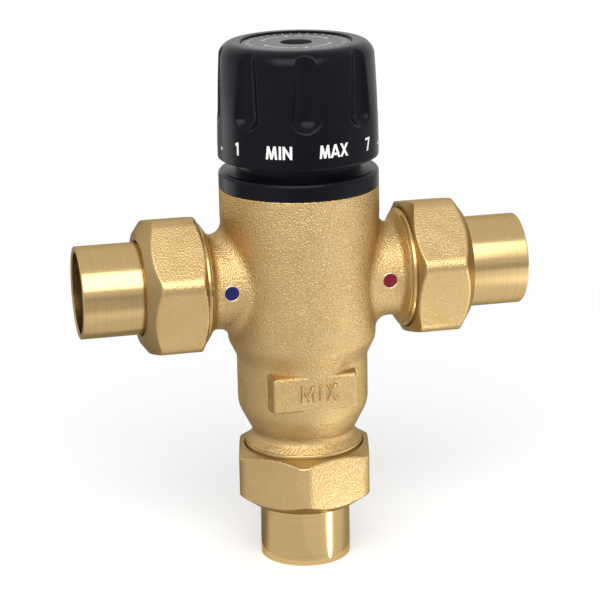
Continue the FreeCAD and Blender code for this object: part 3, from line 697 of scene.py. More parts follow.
@dataclass
class Reflectors:
    """Shallow bowl of pale and dark panels round the valve, there for its reflections alone.

    Each zone gives (direction, level) pairs: degrees from the front, towards the hot side.
    """

    start: float = 0.015
    radius: float = 0.26
    height: float = 0.16
    lift: float = 0.0005
    columns: int = 96
    full: float = 7.0
    foot_zone: tuple = (
        (-180, 0.75), (-152, 0.55), (-145, 0.3), (-127, 0.35), (-115, 0.85), (-36, 0.82), (-30, 0.92),
        (43, 0.95), (46, 7.0), (57, 7.0), (60, 0.95), (102, 0.9), (112, 0.6), (150, 0.55), (180, 0.75))
    body_zone: tuple = (
        (-180, 0.6), (-140, 0.4), (-100, 0.5), (-60, 0.9), (-25, 1.05), (0, 0.98), (40, 1.02), (75, 1.0),
        (105, 0.95), (135, 0.5), (180, 0.6))
    wall_zone: tuple = (
        (-180, 0.6), (-140, 0.4), (-100, 0.5), (-55, 0.85), (0, 0.6), (22, 0.75), (55, 2.3), (85, 2.4),
        (105, 1.2), (135, 0.5), (180, 0.6))
    knob_zone: tuple = (
        (-180, 0.3), (-150, 0.35), (-143, 1.7), (-116, 1.7), (-108, 0.35), (-60, 0.9), (-20, 0.6),
        (8, 0.45), (60, 0.7), (110, 0.35), (150, 0.8), (180, 0.3))
    foot_middle: tuple = (0.0043, -0.0119)
    foot_edge: tuple = (0.05, 0.072)
    wall_edge: tuple = (0.095, 0.15)
    knob_edge: tuple = (0.292, 0.3)
    upper_edge: tuple = (0.345, 0.36)
    upper: float = 0.8

    @staticmethod
    def direction(nodes: Nodes, x: Term, y: Term) -> Term:
        """Share of a full turn, from the back round by the cold side."""
        return nodes.math("ARCTAN2", x, 0 - y) * (1 / FULL_TURN) + 0.5

    def zone(self, nodes: Nodes, part: Term, levels: tuple) -> Term:
        """Level of one zone over the share of a full turn."""
        stops = [((angle + 180) / 360, rgba((level / self.full,) * 3)) for angle, level in levels]
        return nodes.add("ShaderNodeValToRGB", {"stops": stops}, {"Fac": part})

    def material(self) -> bpy.types.Material:
        """Make a glow that depends on the direction from the middle and on the way out along the bowl.

        Returns:
            The panels' material.
        """
        made = bpy.data.materials.new("reflector_panels")
        nodes = Nodes.fresh(made)
        made.cycles.emission_sampling = "NONE"
        x, y, z = nodes.axes(nodes.place())
        near_x, near_y = x - self.foot_middle[0], y - self.foot_middle[1]
        near = (near_x * near_x + near_y * near_y).root()
        way_out = (x * x + y * y).root() + z
        around = self.direction(nodes, x, y)
        level = self.zone(nodes, self.direction(nodes, near_x, near_y), self.foot_zone)
        for distance, edge, zone in ((near, self.foot_edge, self.body_zone),
                                     (way_out, self.wall_edge, self.wall_zone),
                                     (way_out, self.knob_edge, self.knob_zone)):
            level = nodes.blend(distance.step(*edge), level, self.zone(nodes, around, zone))
        level = nodes.blend(way_out.step(*self.upper_edge), level, rgba((self.upper / self.full,) * 3))
        shine = nodes.add("ShaderNodeEmission", {}, {"Color": level, "Strength": self.full})
        nodes.add("ShaderNodeOutputMaterial", {}, {"Surface": shine})
        return made

    def build(self) -> None:
        """Make the bowl."""
        rows = ((self.start, self.lift), (self.radius, self.lift), (self.radius, self.height))
        mesh = plain_mesh("reflector_bowl", turned_grid(rows, self.columns).reshape(-1, 3),
                          quads(len(rows), self.columns, False).tolist())
        mesh.materials.append(self.material())
        bowl = link("reflector_bowl", mesh)
        bowl.visible_camera = bowl.visible_diffuse = bowl.visible_shadow = False


@dataclass
class Studio:
    """Camera, pale floor, white surroundings and soft lamps."""

    camera_at: tuple = (-0.133198, -0.567782, 0.243705)
    turn: float = 13.174
    rise: float = 16.178
    roll: float = -1.113
    lens: float = 130.906
    film: float = 36.0
    sight: tuple = (0.01, 50.0)
    floor_size: float = 6.0
    paper: tuple = (0.78, 0.8)
    paper_grain: float = 3.0
    floor_glow: float = 0.3
    shade_reach: tuple = (0.1, 0.34)
    white: float = 1.0
    surround: float = 0.84
    fill: float = 0.6
    aim: tuple = (0.0, 0.0, 0.08)
    lamps: list = field(default_factory=lambda: [Lamp("key_softbox", -13.0, 40.0, 1.1, 1.3, 0.85, 10.8)])
    reflectors: Reflectors = field(default_factory=Reflectors)

    def camera(self) -> None:
        """Set the camera at the valve's three-quarter view."""
        turn, rise, roll = (math.radians(a) for a in (self.turn, self.rise, self.roll))
        back = Vector((-math.sin(turn) * math.cos(rise), -math.cos(turn) * math.cos(rise), math.sin(rise)))
        right = Vector((math.cos(turn), -math.sin(turn), 0))
        up = back.cross(right)
        side = right * math.cos(roll) + up * math.sin(roll)
        top = up * math.cos(roll) - right * math.sin(roll)
        data = bpy.data.cameras.new("camera")
        data.lens, data.sensor_width = self.lens, self.film
        data.clip_start, data.clip_end = self.sight
        camera = link("camera", data)
        facing = Matrix((side, top, back)).transposed().to_4x4()
        camera.matrix_world = Matrix.Translation(self.camera_at) @ facing
        bpy.context.scene.camera = camera

    def world(self) -> None:
        """White for the camera and for glass, a little less for gloss, and a softer fill for the rest."""
        world = bpy.data.worlds.new("surround")
        nodes = Nodes.fresh(world)
        clear, gloss = nodes.rays("Camera", "Transmission"), nodes.rays("Glossy")
        strength = self.fill + (self.white - self.fill) * clear + (self.surround - self.fill) * gloss
        glow = nodes.add("ShaderNodeBackground", {}, {"Color": rgba((1, 1, 1)), "Strength": strength})
        nodes.add("ShaderNodeOutputWorld", {}, {"Surface": glow})
        bpy.context.scene.world = world

    def floor(self) -> None:
        """Pale floor that keeps the valve's shadow and fades to white round it."""
        half = self.floor_size / 2
        corners = np.array([(-half, -half, 0), (half, -half, 0), (half, half, 0), (-half, half, 0)])
        mesh = plain_mesh("floor", corners, [(0, 1, 2, 3)])
        material = bpy.data.materials.new("floor_paper")
        nodes = Nodes.fresh(material)
        seen = nodes.rays("Camera", "Glossy", "Transmission") > 0.5
        at = nodes.place()
        x, y, _ = nodes.axes(at)
        away = (x * x + y * y).root().step(*self.shade_reach)
        grey = nodes.blend(nodes.noise(at, self.paper_grain), *(rgba((level,) * 3) for level in self.paper))
        paper = nodes.add("ShaderNodeBsdfDiffuse", {}, {"Color": grey})
        glow, white = (nodes.add("ShaderNodeEmission", {}, {"Color": rgba((1, 1, 1)), "Strength": strength})
                       for strength in (self.floor_glow, self.white))
        lit = nodes.add("ShaderNodeAddShader", {}, {0: paper, 1: glow})
        faded = nodes.add("ShaderNodeMixShader", {}, {0: away, 1: lit, 2: white})
        mixed = nodes.add("ShaderNodeMixShader", {}, {0: seen, 1: paper, 2: faded})
        nodes.add("ShaderNodeOutputMaterial", {}, {"Surface": mixed})
        mesh.materials.append(material)
        link("floor", mesh)

    def build(self) -> None:
        """Camera first, then the surroundings and the lamps."""
        self.camera()
        self.world()
        self.floor()
        self.reflectors.build()
        for lamp in self.lamps:
            lamp.build(Vector(self.aim))
        bpy.context.scene.view_settings.view_transform = "Standard"


# ---- frame of the ports -------------------------------------------------------------------------------
class Port(Enum):
    """The three unions, with the directions of their local X, Y and Z."""

    COLD = ("cold", (0, 0, 1), (0, 1, 0), (-1, 0, 0))
    HOT = ("hot", (0, 0, -1), (0, 1, 0), (1, 0, 0))
    MIX = ("mix", (1, 0, 0), (0, -1, 0), (0, 0, -1))

    @property
    def prefix(self) -> str:
        """First word of the names of the port's CAD nodes."""
        return self.value[0]

    def place(self, points: np.ndarray) -> np.ndarray:
        """Turn points made about +Z so that they lie about the port's axis.

        Args:
            points: Points in millimetres, the last axis of length three.

        Returns:
            The points in the valve's frame, in millimetres.
        """
        turned = points @ np.array(self.value[1:], float)
        turned[..., 2] += axis_height()
        return turned


def axis_height() -> float:
    """Height of the side ports' axis above the floor, in millimetres."""
    low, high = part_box("cold_gasket")
    return (low.z + high.z) / 2 / MM


# ---- union nuts ---------------------------------------------------------------------------------------
@dataclass
class UnionNut:
    """Forged hexagon nut with soft corners, coned outside and chamfered inside, turned at both ends."""

    port: Port
    corner_at: float
    flat: float = 18.27
    corner_round: float = 4.4
    edge_round: float = 0.55
    lip_r: float = 13.1
    lip_face: float = 2.4
    lip: float = 2.6
    cone: float = 2.05
    bore_r: float = 16.67
    inner_face: float = 1.05
    chamfer_slope: float = 1.732
    mouth_edge: float = 0.3
    columns: int = 288
    end_step: float = 0.16
    middle_step: float = 1.2
    ends: float = 4.6
    sharp: float = 40.0

    def span(self) -> tuple[float, float]:
        """Find the nut's two ends along the port's axis.

        Returns:
            Their distances from the valve's centre, in millimetres.
        """
        low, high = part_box(f"{self.port.prefix}_union_nut")
        if self.port is Port.MIX:
            height = axis_height()
            return height - high.z / MM, height - low.z / MM
        ends = sorted(abs(v) / MM for v in (low.x, high.x))
        return ends[0], ends[1]

    def hexagon(self, angles: np.ndarray) -> np.ndarray:
        """Shape the hexagon, its corners rounded.

        Args:
            angles: Angles in radians.

        Returns:
            Its radius at each angle.
        """
        sixth = math.radians(60)
        off = np.abs((angles - math.radians(self.corner_at) + sixth / 2) % sixth - sixth / 2)
        centre = (self.flat - self.corner_round) / math.cos(sixth / 2)
        straight = self.flat / np.cos(sixth / 2 - off)
        inside = np.clip(self.corner_round ** 2 - (centre * np.sin(off)) ** 2, 0, None)
        rounded = centre * np.cos(off) + np.sqrt(inside)
        reach = sixth / 2 - math.atan2(centre / 2, self.flat)
        return np.where(off < reach, rounded, straight)

    def build(self, forged: Finish, turned: Finish) -> None:
        """Make the nut.

        Args:
            forged: Finish of the flats.
            turned: Finish of the cone, the chamfer and the bore.
        """
        inner, outer = self.span()
        hexagon = self.hexagon(round_angles(self.columns))
        cone_start = self.lip_r + self.lip_face
        rise = (self.flat - cone_start) / self.cone
        face_r = self.bore_r + self.inner_face
        near, far = inner + self.ends, outer - self.ends
        stations = [inner, *spaced(inner, near, self.end_step), near, *spaced(near, far, self.middle_step),
                    far, *spaced(far, outer, self.end_step), outer]
        rows, cut = [], []
        for station in stations:
            cone = cone_start + (outer - station) * rise
            chamfer = face_r + (station - inner) * self.chamfer_slope
            envelope = soft_min(cone, chamfer, self.edge_round)
            rows.append((soft_min(hexagon, envelope, self.edge_round), station))
            cut.append(envelope < hexagon)
        flange = outer - self.lip
        inside = [(self.lip_r + self.mouth_edge, outer), (self.lip_r, outer - self.mouth_edge),
                  (self.lip_r, flange), (self.bore_r, flange),
                  (self.bore_r, inner + self.mouth_edge), (self.bore_r + self.mouth_edge, inner)]
        cut = np.array(cut + [np.ones(self.columns, bool)] * len(inside))
        points = turned_grid(rows + inside, self.columns)
        mesh = ring_mesh(f"{self.port.prefix}_nut", self.port.place(points))
        for finish in (forged, turned):
            mesh.materials.append(finish.material())
        beside = np.roll(cut, -1, axis=1)
        both = cut & beside & np.roll(cut, -1, axis=0) & np.roll(beside, -1, axis=0)
        mesh.polygons.foreach_set("material_index", both.ravel().astype(np.int32))
        finish_piece(mesh, forged, self.sharp, "housing", f"{self.port.prefix}_union_nut")


# ---- knob ---------------------------------------------------------------------------------------------
@dataclass
class Knob:
    """Moulded hand knob: eight tapered finger scoops with sloped feet, a soft shoulder and a recess."""

    radius: float = 22.0
    foot: float = 34.2
    top: float = 65.6
    top_inset: float = 0.9
    shoulder: float = 4.0
    bulge: float = 0.22
    foot_round: float = 0.4
    wall: float = 3.6
    roof: float = 60.3
    roof_round: float = 1.5
    recess_r: float = 15.05
    recess_floor: float = 63.3
    rim_edge: float = 0.3
    hub_r: float = 8.6
    hub_depth: float = 9.8
    well_r: float = 4.3
    screw_r: float = 2.05
    screw_head: float = 1.9
    spindle_r: float = 5.05
    turn: float = -7.0
    flutes: int = 8
    flute_foot: float = 12.8
    flute_top: float = 30.0
    flute_foot_r: float = 5.4
    flute_top_r: float = 3.4
    flute_foot_depth: float = 2.5
    flute_top_depth: float = 1.9
    flute_edge: float = 0.5
    flute_flank: float = 4.0
    run_out: float = 2.9
    run_out_swell: float = 0.3
    run_out_end: float = 0.1
    columns: int = 640
    row_step: float = 0.36
    hub_step: float = 3.0
    wall_step: float = 4.0
    corner_steps: int = 4
    shoulder_steps: int = 22
    sharp: float = 40.0

    def side(self, heights: Radii) -> Radii:
        """Shape the plain side, up to the shoulder.

        Args:
            heights: Heights above the port axis.

        Returns:
            Its radius at each height.
        """
        low, high = self.foot + self.foot_round, self.top - self.shoulder
        part = np.clip((heights - low) / (high - low), 0, 1)
        return self.radius - self.top_inset * part + self.bulge * 4 * part * (1 - part)

    def scoop(self, angles: np.ndarray, height: float) -> np.ndarray:
        """Radius at which the scoops' tools stand at one height, large where there is none.

        Args:
            angles: Angles from +X in radians.
            height: Height above the port axis.

        Returns:
            A radius for each angle.
        """
        pitch = FULL_TURN / self.flutes
        start = math.radians(self.turn - 90)
        off = np.abs((angles - start + pitch / 2) % pitch - pitch / 2)
        foot_z, top_z = self.foot + self.flute_foot, self.foot + self.flute_top
        part = (height - foot_z) / (top_z - foot_z)
        foot_axis = self.radius + self.flute_foot_r - self.flute_foot_depth
        top_axis = self.radius - self.top_inset / 2 + self.flute_top_r - self.flute_top_depth
        centre = foot_axis + (top_axis - foot_axis) * part
        size = self.flute_foot_r + (self.flute_top_r - self.flute_foot_r) * part
        if part < 0:
            centre = foot_axis
            skin = self.flute_foot_r - self.flute_foot_depth
            fall = (foot_z - height) / self.run_out
            left = (skin ** 2 + (self.flute_foot_r ** 2 - skin ** 2) * (1 - fall)
                    * (1 + self.run_out_swell * fall))
            if left <= self.run_out_end:
                return np.full(len(angles), self.radius * 2)
            size = math.sqrt(left)
        inside = size ** 2 - (centre * np.sin(off)) ** 2
        near = centre * np.cos(off) - np.sqrt(np.clip(inside, 0, None))
        past = np.clip(np.abs(centre * np.sin(off)) - size, 0, None)
        return near + past * self.flute_flank

    def profile(self) -> list[tuple]:
        """Shape the outside.

        Returns:
            Radius and height of its rows, from the foot to the shoulder's top.
        """
        head = self.top - self.shoulder
        rows = arc((self.radius - self.foot_round, self.foot + self.foot_round), self.foot_round, -90, 0,
                   self.corner_steps)
        rows += [(self.side(z), z) for z in spaced(self.foot + self.foot_round, head, self.row_step)]
        return rows + arc((self.radius - self.top_inset - self.shoulder, head), self.shoulder, 0, 90,
                          self.shoulder_steps)

    def inside(self) -> list[tuple]:
        """Shape the inside.

        Returns:
            Radius and height of its rows, from the top's edge, through the hub, to the skirt's foot.
        """
        spindle_top, screw_top = (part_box(name)[1].z / MM - axis_height() for name in ("spindle", "knob_screw"))
        screw_low = screw_top - self.screw_head
        hub_low = spindle_top - self.hub_depth
        inner, bend = self.radius - self.wall, self.roof - self.roof_round
        rows = [(self.recess_r + self.rim_edge, self.top), (self.recess_r, self.top - self.rim_edge),
                (self.recess_r, self.recess_floor), (self.well_r, self.recess_floor),
                (self.well_r, screw_low), (self.screw_r, screw_low), (self.screw_r, spindle_top),
                (self.spindle_r, spindle_top), (self.spindle_r, hub_low), (self.hub_r, hub_low)]
        rows += [(self.hub_r, z) for z in [*spaced(hub_low, self.roof, self.hub_step), self.roof]]
        rows += arc((inner - self.roof_round, bend), self.roof_round, 90, 0, self.corner_steps)
        return rows + [(inner, z) for z in [*spaced(bend, self.foot, self.wall_step), self.foot]]

    def build(self, plastic: Finish) -> None:
        """Make the knob.

        Args:
            plastic: Its finish.
        """
        angles = round_angles(self.columns)
        lift = axis_height()
        rows = [(soft_min(radius, self.scoop(angles, z), self.flute_edge), z) for radius, z in self.profile()]
        points = turned_grid([(radius, z + lift) for radius, z in rows + self.inside()], self.columns)
        finish_piece(ring_mesh("hand_knob", points), plastic, self.sharp, "control", "knob")


# ---- lettering ----------------------------------------------------------------------------------------
BOW_STEPS = 14


def bow(x: float, y: float, radius: float, start: float, end: float) -> list[tuple]:
    """Centre line of a round stroke, as points of a letter."""
    return arc((x, y), radius, start, end, BOW_STEPS)


LETTERS = {
    "M": (0.92, [[(0.07, -0.3), (0.2, 1.0), (0.46, 0.06), (0.72, 1.0), (0.85, -0.3)]]),
    "I": (0.2, [[(0.1, -0.3), (0.1, 1.3)]]),
    "N": (0.74, [[(0.1, -0.3), (0.1, 0.92), (0.64, 0.08), (0.64, 1.3)]]),
    "A": (0.84, [[(0.02, -0.2), (0.42, 1.0), (0.82, -0.2)], [(0.2, 0.27), (0.64, 0.27)]]),
    "X": (0.74, [[(-0.02, -0.2), (0.76, 1.2)], [(0.76, -0.2), (-0.02, 1.2)]]),
    "1": (0.36, [[(0.02, 0.76), (0.26, 0.92), (0.26, -0.3)]]),
    "2": (0.6, [bow(0.3, 0.69, 0.21, 175, -30) + [(0.09, 0.09), (0.58, 0.09)]]),
    "3": (0.58, [bow(0.27, 0.70, 0.2, 150, -80), bow(0.27, 0.31, 0.21, 80, -150)]),
    "4": (0.66, [[(0.45, -0.3), (0.45, 1.3)], [(0.47, 1.1), (0.07, 0.3), (0.66, 0.3)]]),
    "5": (0.58, [[(0.54, 0.91), (0.18, 0.91), (0.14, 0.5)], bow(0.28, 0.31, 0.21, 125, -150)]),
    "6": (0.6, [bow(0.3, 0.3, 0.2, 0, 359), [(0.52, 1.1), (0.12, 0.36)]]),
    "7": (0.56, [[(0.0, 0.91), (0.52, 0.91), (0.16, -0.3)]]),
}


def thick_line(path: Sequence[tuple], half: float) -> list[tuple]:
    """Outline of a bent bar.

    Args:
        path: Its centre line.
        half: Half its width.

    Returns:
        The corners of the outline.
    """
    points = [Vector(p) for p in path]
    ways = [(b - a).normalized() for a, b in zip(points, points[1:])]
    left, right = [], []
    for i, point in enumerate(points):
        before, after = ways[max(i - 1, 0)], ways[min(i, len(ways) - 1)]
        first, second = Vector((-before.y, before.x)), Vector((-after.y, after.x))
        offset = (first + second) * (half / (1 + first.dot(second)))
        left.append(tuple(point + offset))
        right.append(tuple(point - offset))
    return left + right[::-1]


def trimmed(outline: Sequence[tuple], low: float, high: float) -> list[tuple]:
    """Cut an outline off below one height and above another.

    Args:
        outline: Its corners.
        low: The lower height.
        high: The upper height.

    Returns:
        The corners that it then has.
    """
    for level, sign in ((low, 1), (high, -1)):
        kept = []
        for a, b in zip(outline, [*outline[1:], outline[0]]):
            inside, next_inside = (a[1] - level) * sign >= 0, (b[1] - level) * sign >= 0
            if inside:
                kept.append(a)
            if inside != next_inside:
                part = (level - a[1]) / (b[1] - a[1])
                kept.append((a[0] + (b[0] - a[0]) * part, level))
        outline = kept
    return list(outline)


@dataclass
class Word:
    """Word of plain bold letters, cut out in thick sheet."""

    text: str
    height: float
    width: float = 0.0
    gap: float = 0.1
    weight: float = 0.185
    ease: float = 0.004
    snap: float = 1e-5

    def outlines(self) -> list[list[tuple]]:
        """Lay out the word's strokes.

        Returns:
            Their outlines in millimetres, X along the word and Y up, centred.
        """
        made, at = [], 0.0
        for letter in self.text:
            advance, strokes = LETTERS[letter]
            for stroke in strokes:
                outline = trimmed(thick_line(stroke, self.weight / 2), 0.0, 1.0)
                made.append([(x + at, y) for x, y in outline])
            at += advance + self.gap
        xs = [x for outline in made for x, _ in outline]
        low, high = min(xs), max(xs)
        stretch = self.width / (high - low) / self.height if self.width else 1.0
        middle = (low + high) / 2
        return [[((x - middle) * self.height * stretch, (y - 0.5) * self.height) for x, y in outline]
                for outline in made]

    def solid(self, low: float, high: float, strip: float) -> bmesh.types.BMesh:
        """The strokes as solids between two heights.

        Args:
            low: Z of their backs.
            high: Z of their faces.
            strip: Width of the upright strips that they are cut into.

        Returns:
            The work mesh, in millimetres.
        """
        work = bmesh.new()
        for number, outline in enumerate(self.outlines()):
            prism(work, outline, low, high - self.ease * number)
        bmesh.ops.triangulate(work, faces=[f for f in work.faces if len(f.verts) > 4])
        xs = [v.co.x for v in work.verts]
        for x in spaced(min(xs), max(xs), strip):
            bmesh.ops.bisect_plane(work, geom=work.verts[:] + work.edges[:] + work.faces[:], dist=self.snap,
                                   plane_co=(x, 0, 0), plane_no=(1, 0, 0))
        return work


@dataclass
class DialPrint:
    """White scale on the knob's skirt: MIN, 1 to 7, MAX and a dot midway between the figures."""

    knob: Knob
    height: float = 39.2
    cap: float = 3.55
    pitch: float = 42.4
    first: float = -54.0
    figures: int = 7
    word_at: float = 19.7
    min_width: float = 7.2
    max_width: float = 8.5
    max_gap: float = 0.02
    proud: float = 0.05
    sunk: float = 0.07
    strip: float = 0.45
    dot_r: float = 0.48
    dot_height: float = 37.9
    dots: int = 6
    dot_first: float = 72.7
    sharp: float = 30.0

    def wrap(self, work: bmesh.types.BMesh, middle: float) -> None:
        """Bend a flat word round the knob.

        Args:
            work: The word, in millimetres.
            middle: Angle of its middle from the front, in degrees.
        """
        lift = axis_height()
        for vert in work.verts:
            height = vert.co.y + self.height
            radius = self.knob.side(height) + vert.co.z
            angle = math.radians(middle + self.knob.turn) + vert.co.x / self.knob.radius
            vert.co = (radius * math.sin(angle) * MM, -radius * math.cos(angle) * MM, (height + lift) * MM)

    def build(self, ink: Finish) -> None:
        """Make the scale as one piece.

        Args:
            ink: Its finish.
        """
        words = [(Word("MIN", self.cap, self.min_width), -self.word_at),
                 (Word("MAX", self.cap, self.max_width, self.max_gap), self.word_at)]
        words += [(Word(str(i + 1), self.cap), self.first - self.pitch * i) for i in range(self.figures)]
        total = bmesh.new()
        for word, at in words:
            work = word.solid(-self.sunk, self.proud, self.strip)
            self.wrap(work, at)
            absorb(total, closed_mesh("word", work))
        marks = RingOfMarks("dial_dots", self.dots, self.knob.side(self.dot_height),
                            self.dot_height + axis_height(), math.radians(self.dot_first + self.knob.turn),
                            math.radians(self.pitch), self.dot_r, self.proud * 2, Facing.OUTWARD)
        absorb(total, marks.mesh(ink))
        finish_piece(closed_mesh("dial_print", total), ink, self.sharp, "control")


# ---- repeated marks -----------------------------------------------------------------------------------
class Facing(Enum):
    """Which way the marks of a ring face, as their tilt from upright in radians."""

    OUTWARD = math.pi / 2
    UPWARD = 0.0


@dataclass
class RingOfMarks:
    """Small equal marks on a circle, set out by Geometry Nodes. Sizes in millimetres, angles in radians."""

    name: str
    count: int
    radius: float
    height: float
    first: float
    pitch: float
    size: float
    thick: float
    facing: Facing
    length: float = 0.0
    corners: int = 20

    def sizes(self) -> dict[str, Number]:
        """Values of the tree's named inputs, lengths in metres."""
        return {"Count": self.count, "Radius": float(self.radius) * MM, "Height": self.height * MM,
                "First Angle": self.first, "Pitch Angle": self.pitch, "Mark Radius": self.size * MM,
                "Mark Thickness": self.thick * MM, "Mark Length": self.length}

    def tree(self, ink: Finish) -> bpy.types.NodeTree:
        """Build the node tree that makes the marks.

        Args:
            ink: Finish of the marks.

        Returns:
            The tree, its sizes as named inputs.
        """
        tree = bpy.data.node_groups.new(self.name, "GeometryNodeTree")
        face = tree.interface
        for way in ("INPUT", "OUTPUT"):
            face.new_socket("Geometry", in_out=way, socket_type="NodeSocketGeometry")
        for name, value in self.sizes().items():
            kind = "NodeSocketInt" if isinstance(value, int) else "NodeSocketFloat"
            face.new_socket(name, in_out="INPUT", socket_type=kind)
        nodes = Nodes(tree)
        given = nodes.add("NodeGroupInput").socket.node
        ask = {socket.name: Term(nodes, socket) for socket in given.outputs if socket.name}
        line = nodes.add("GeometryNodeMeshLine", {"mode": "OFFSET"},
                         {"Count": ask["Count"], "Offset": (0, 0, 0)})
        angle = ask["First Angle"] + nodes.add("GeometryNodeInputIndex") * ask["Pitch Angle"]
        sine, cosine = nodes.math("SINE", angle), nodes.math("COSINE", angle)
        spot = nodes.vector(ask["Radius"] * sine, 0 - ask["Radius"] * cosine, ask["Height"])
        points = nodes.add("GeometryNodeSetPosition", {}, {"Geometry": line, "Position": spot})
        mark = nodes.add("GeometryNodeMeshCylinder", {"fill_type": "NGON"}, {
            "Vertices": self.corners, "Side Segments": 1, "Radius": ask["Mark Radius"],
            "Depth": ask["Mark Thickness"]}, output="Mesh")
        mark = nodes.add("GeometryNodeTransform", {}, {
            "Geometry": mark, "Scale": nodes.vector(1.0, 1 + ask["Mark Length"], 1.0)})
        marks = nodes.add("GeometryNodeInstanceOnPoints", {}, {
            "Points": points, "Instance": mark, "Rotation": nodes.vector(self.facing.value, 0.0, angle)})
        real = nodes.add("GeometryNodeRealizeInstances", {}, {"Geometry": marks})
        dyed = nodes.add("GeometryNodeSetMaterial", {}, {"Geometry": real, "Material": ink.material()})
        nodes.add("NodeGroupOutput", {}, {"Geometry": dyed})
        return tree

    def mesh(self, ink: Finish) -> bpy.types.Mesh:
        """Make the marks as a plain mesh.

        Args:
            ink: Finish of the marks.

        Returns:
            The mesh, in metres.
        """
        carrier = link(self.name, bpy.data.meshes.new(self.name))
        modifier = carrier.modifiers.new(self.name, "NODES")
        modifier.node_group = self.tree(ink)
        sizes = self.sizes()
        for item in modifier.node_group.interface.items_tree:
            if item.in_out == "INPUT" and item.name in sizes:
                modifier[item.identifier] = sizes[item.name]
        bpy.context.view_layer.update()
        seen = carrier.evaluated_get(bpy.context.evaluated_depsgraph_get())
        mesh = bpy.data.meshes.new_from_object(seen)
        carrier.modifiers.remove(modifier)
        bpy.data.objects.remove(carrier)
        return mesh


# ---- body lettering and markers -----------------------------------------------------------------------
@dataclass
class OutletName:
    """Raised letters MIX on the front plate, with the soft drafted sides that the die leaves.

    Each layer is a (wider, out) pair, and each stroke a line of (across, share of the height) points.
    """

    middle_z: float = -28.75
    height: float = 4.5
    half: float = 0.36
    face_y: float = -18.2
    layers: tuple = ((0.16, -0.3), (0.1, 0.0), (0.04, 0.22), (-0.03, 0.4), (-0.12, 0.5), (-0.24, 0.55))
    ease: float = 0.006
    strokes: tuple = (
        ((-4.35, 0.0), (-4.2, 1.0)), ((-1.05, 0.0), (-1.2, 1.0)),
        ((-4.15, 0.93), (-2.7, 0.2), (-1.25, 0.93)),
        ((0.85, 0.0), (0.85, 1.0)),
        ((2.85, 0.0), (5.2, 1.0)), ((5.2, 0.0), (2.85, 1.0)),
    )
    sharp: float = 60.0

    def build(self, brass: Finish) -> None:
        """Make the letters.

        Args:
            brass: Their finish.
        """
        work = bmesh.new()
        lift = axis_height() + self.middle_z
        for number, stroke in enumerate(self.strokes):
            path = [Vector((x, (y - 0.5) * self.height)) for x, y in stroke]
            rings = []
            for wider, out in self.layers:
                ends = [path[0] + (path[0] - path[1]).normalized() * wider, *path[1:-1],
                        path[-1] + (path[-1] - path[-2]).normalized() * wider]
                depth = self.face_y - out + self.ease * number
                rings.append([work.verts.new((x * MM, depth * MM, (z + lift) * MM))
                              for x, z in thick_line(ends, self.half + wider)])
            work.faces.new(rings[0])
            work.faces.new(rings[-1][::-1])
            for low, high in zip(rings, rings[1:]):
                for i in range(len(low)):
                    ahead = (i + 1) % len(low)
                    work.faces.new((low[i], high[i], high[ahead], low[ahead]))
        bmesh.ops.triangulate(work, faces=[f for f in work.faces if len(f.verts) > 4])
        finish_piece(closed_mesh("outlet_name", work), brass, self.sharp, "housing")


def turned_solid(profile: Sequence[tuple], columns: int) -> tuple[np.ndarray, list]:
    """Closed solid of revolution about Z that starts and ends on the axis.

    Args:
        profile: (radius, height) points, the first and the last with no radius.
        columns: Number of points round it.

    Returns:
        Its points and its faces.
    """
    inner = profile[1:-1]
    points = np.concatenate([turned_grid(inner, columns).reshape(-1, 3),
                             [(0, 0, profile[0][1]), (0, 0, profile[-1][1])]])
    faces = quads(len(inner), columns, False).tolist()
    start, end, last = len(points) - 2, len(points) - 1, (len(inner) - 1) * columns
    for i in range(columns):
        ahead = (i + 1) % columns
        faces += [[start, ahead, i], [end, last + i, last + ahead]]
    return points, faces


@dataclass
class Marker:
    """Drop of enamel in a turned pit, with the bright lip that the cutter left."""

    node: str
    enamel_r: float = 1.92
    lip_r: float = 2.26
    lip_height: float = 0.25
    dome: float = 0.24
    settle: float = 0.02
    depth: float = 0.4
    crown_start: float = 0.08
    crown_rows: int = 9
    lip_steps: int = 8
    columns: int = 48
    enamel_sharp: float = 40.0
    lip_sharp: float = 50.0

    def face(self, points: np.ndarray) -> np.ndarray:
        """Turn points made about +Z to face the front, on the CAD marker's face.

        Args:
            points: Points in millimetres, the last axis of length three.

        Returns:
            The points in the valve's frame, in millimetres.
        """
        low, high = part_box(self.node)
        x, z = (low.x + high.x) / 2 / MM, (low.z + high.z) / 2 / MM
        return np.stack([points[..., 0] + x, low.y / MM - points[..., 2], points[..., 1] + z], -1)

    def build(self, enamel: Finish, brass: Finish) -> None:
        """Make the enamel and its lip.

        Args:
            enamel: Finish of the drop.
            brass: Finish of the lip.
        """
        crown = [(self.enamel_r * math.sin(a), self.dome * math.cos(a) - self.settle)
                 for a in np.linspace(self.crown_start, math.pi / 2, self.crown_rows)]
        points, faces = turned_solid([(0, self.dome - self.settle), *crown, (self.enamel_r, -self.depth),
                                      (0, -self.depth)], self.columns)
        work = bmesh.new()
        absorb(work, plain_mesh("drop", self.face(points) * MM, faces))
        finish_piece(closed_mesh(f"{self.node}_enamel", work), enamel, self.enamel_sharp, "housing", self.node)
        middle = (self.enamel_r + self.lip_r) / 2
        half = (self.lip_r - self.enamel_r) / 2
        rounded = arc((0, 0), 1.0, 0, 180, self.lip_steps)
        loop = [(middle + half * u, self.lip_height * v) for u, v in rounded]
        loop += [(middle - half, -self.depth), (middle + half, -self.depth)]
        lip = ring_mesh(f"{self.node}_lip", self.face(turned_grid(loop, self.columns)))
        finish_piece(lip, brass, self.lip_sharp, "housing")


def polar(radius: float, degrees: float) -> tuple[float, float]:
    """Point at a distance and an angle from the middle."""
    angle = math.radians(degrees)
    return radius * math.cos(angle), radius * math.sin(angle)


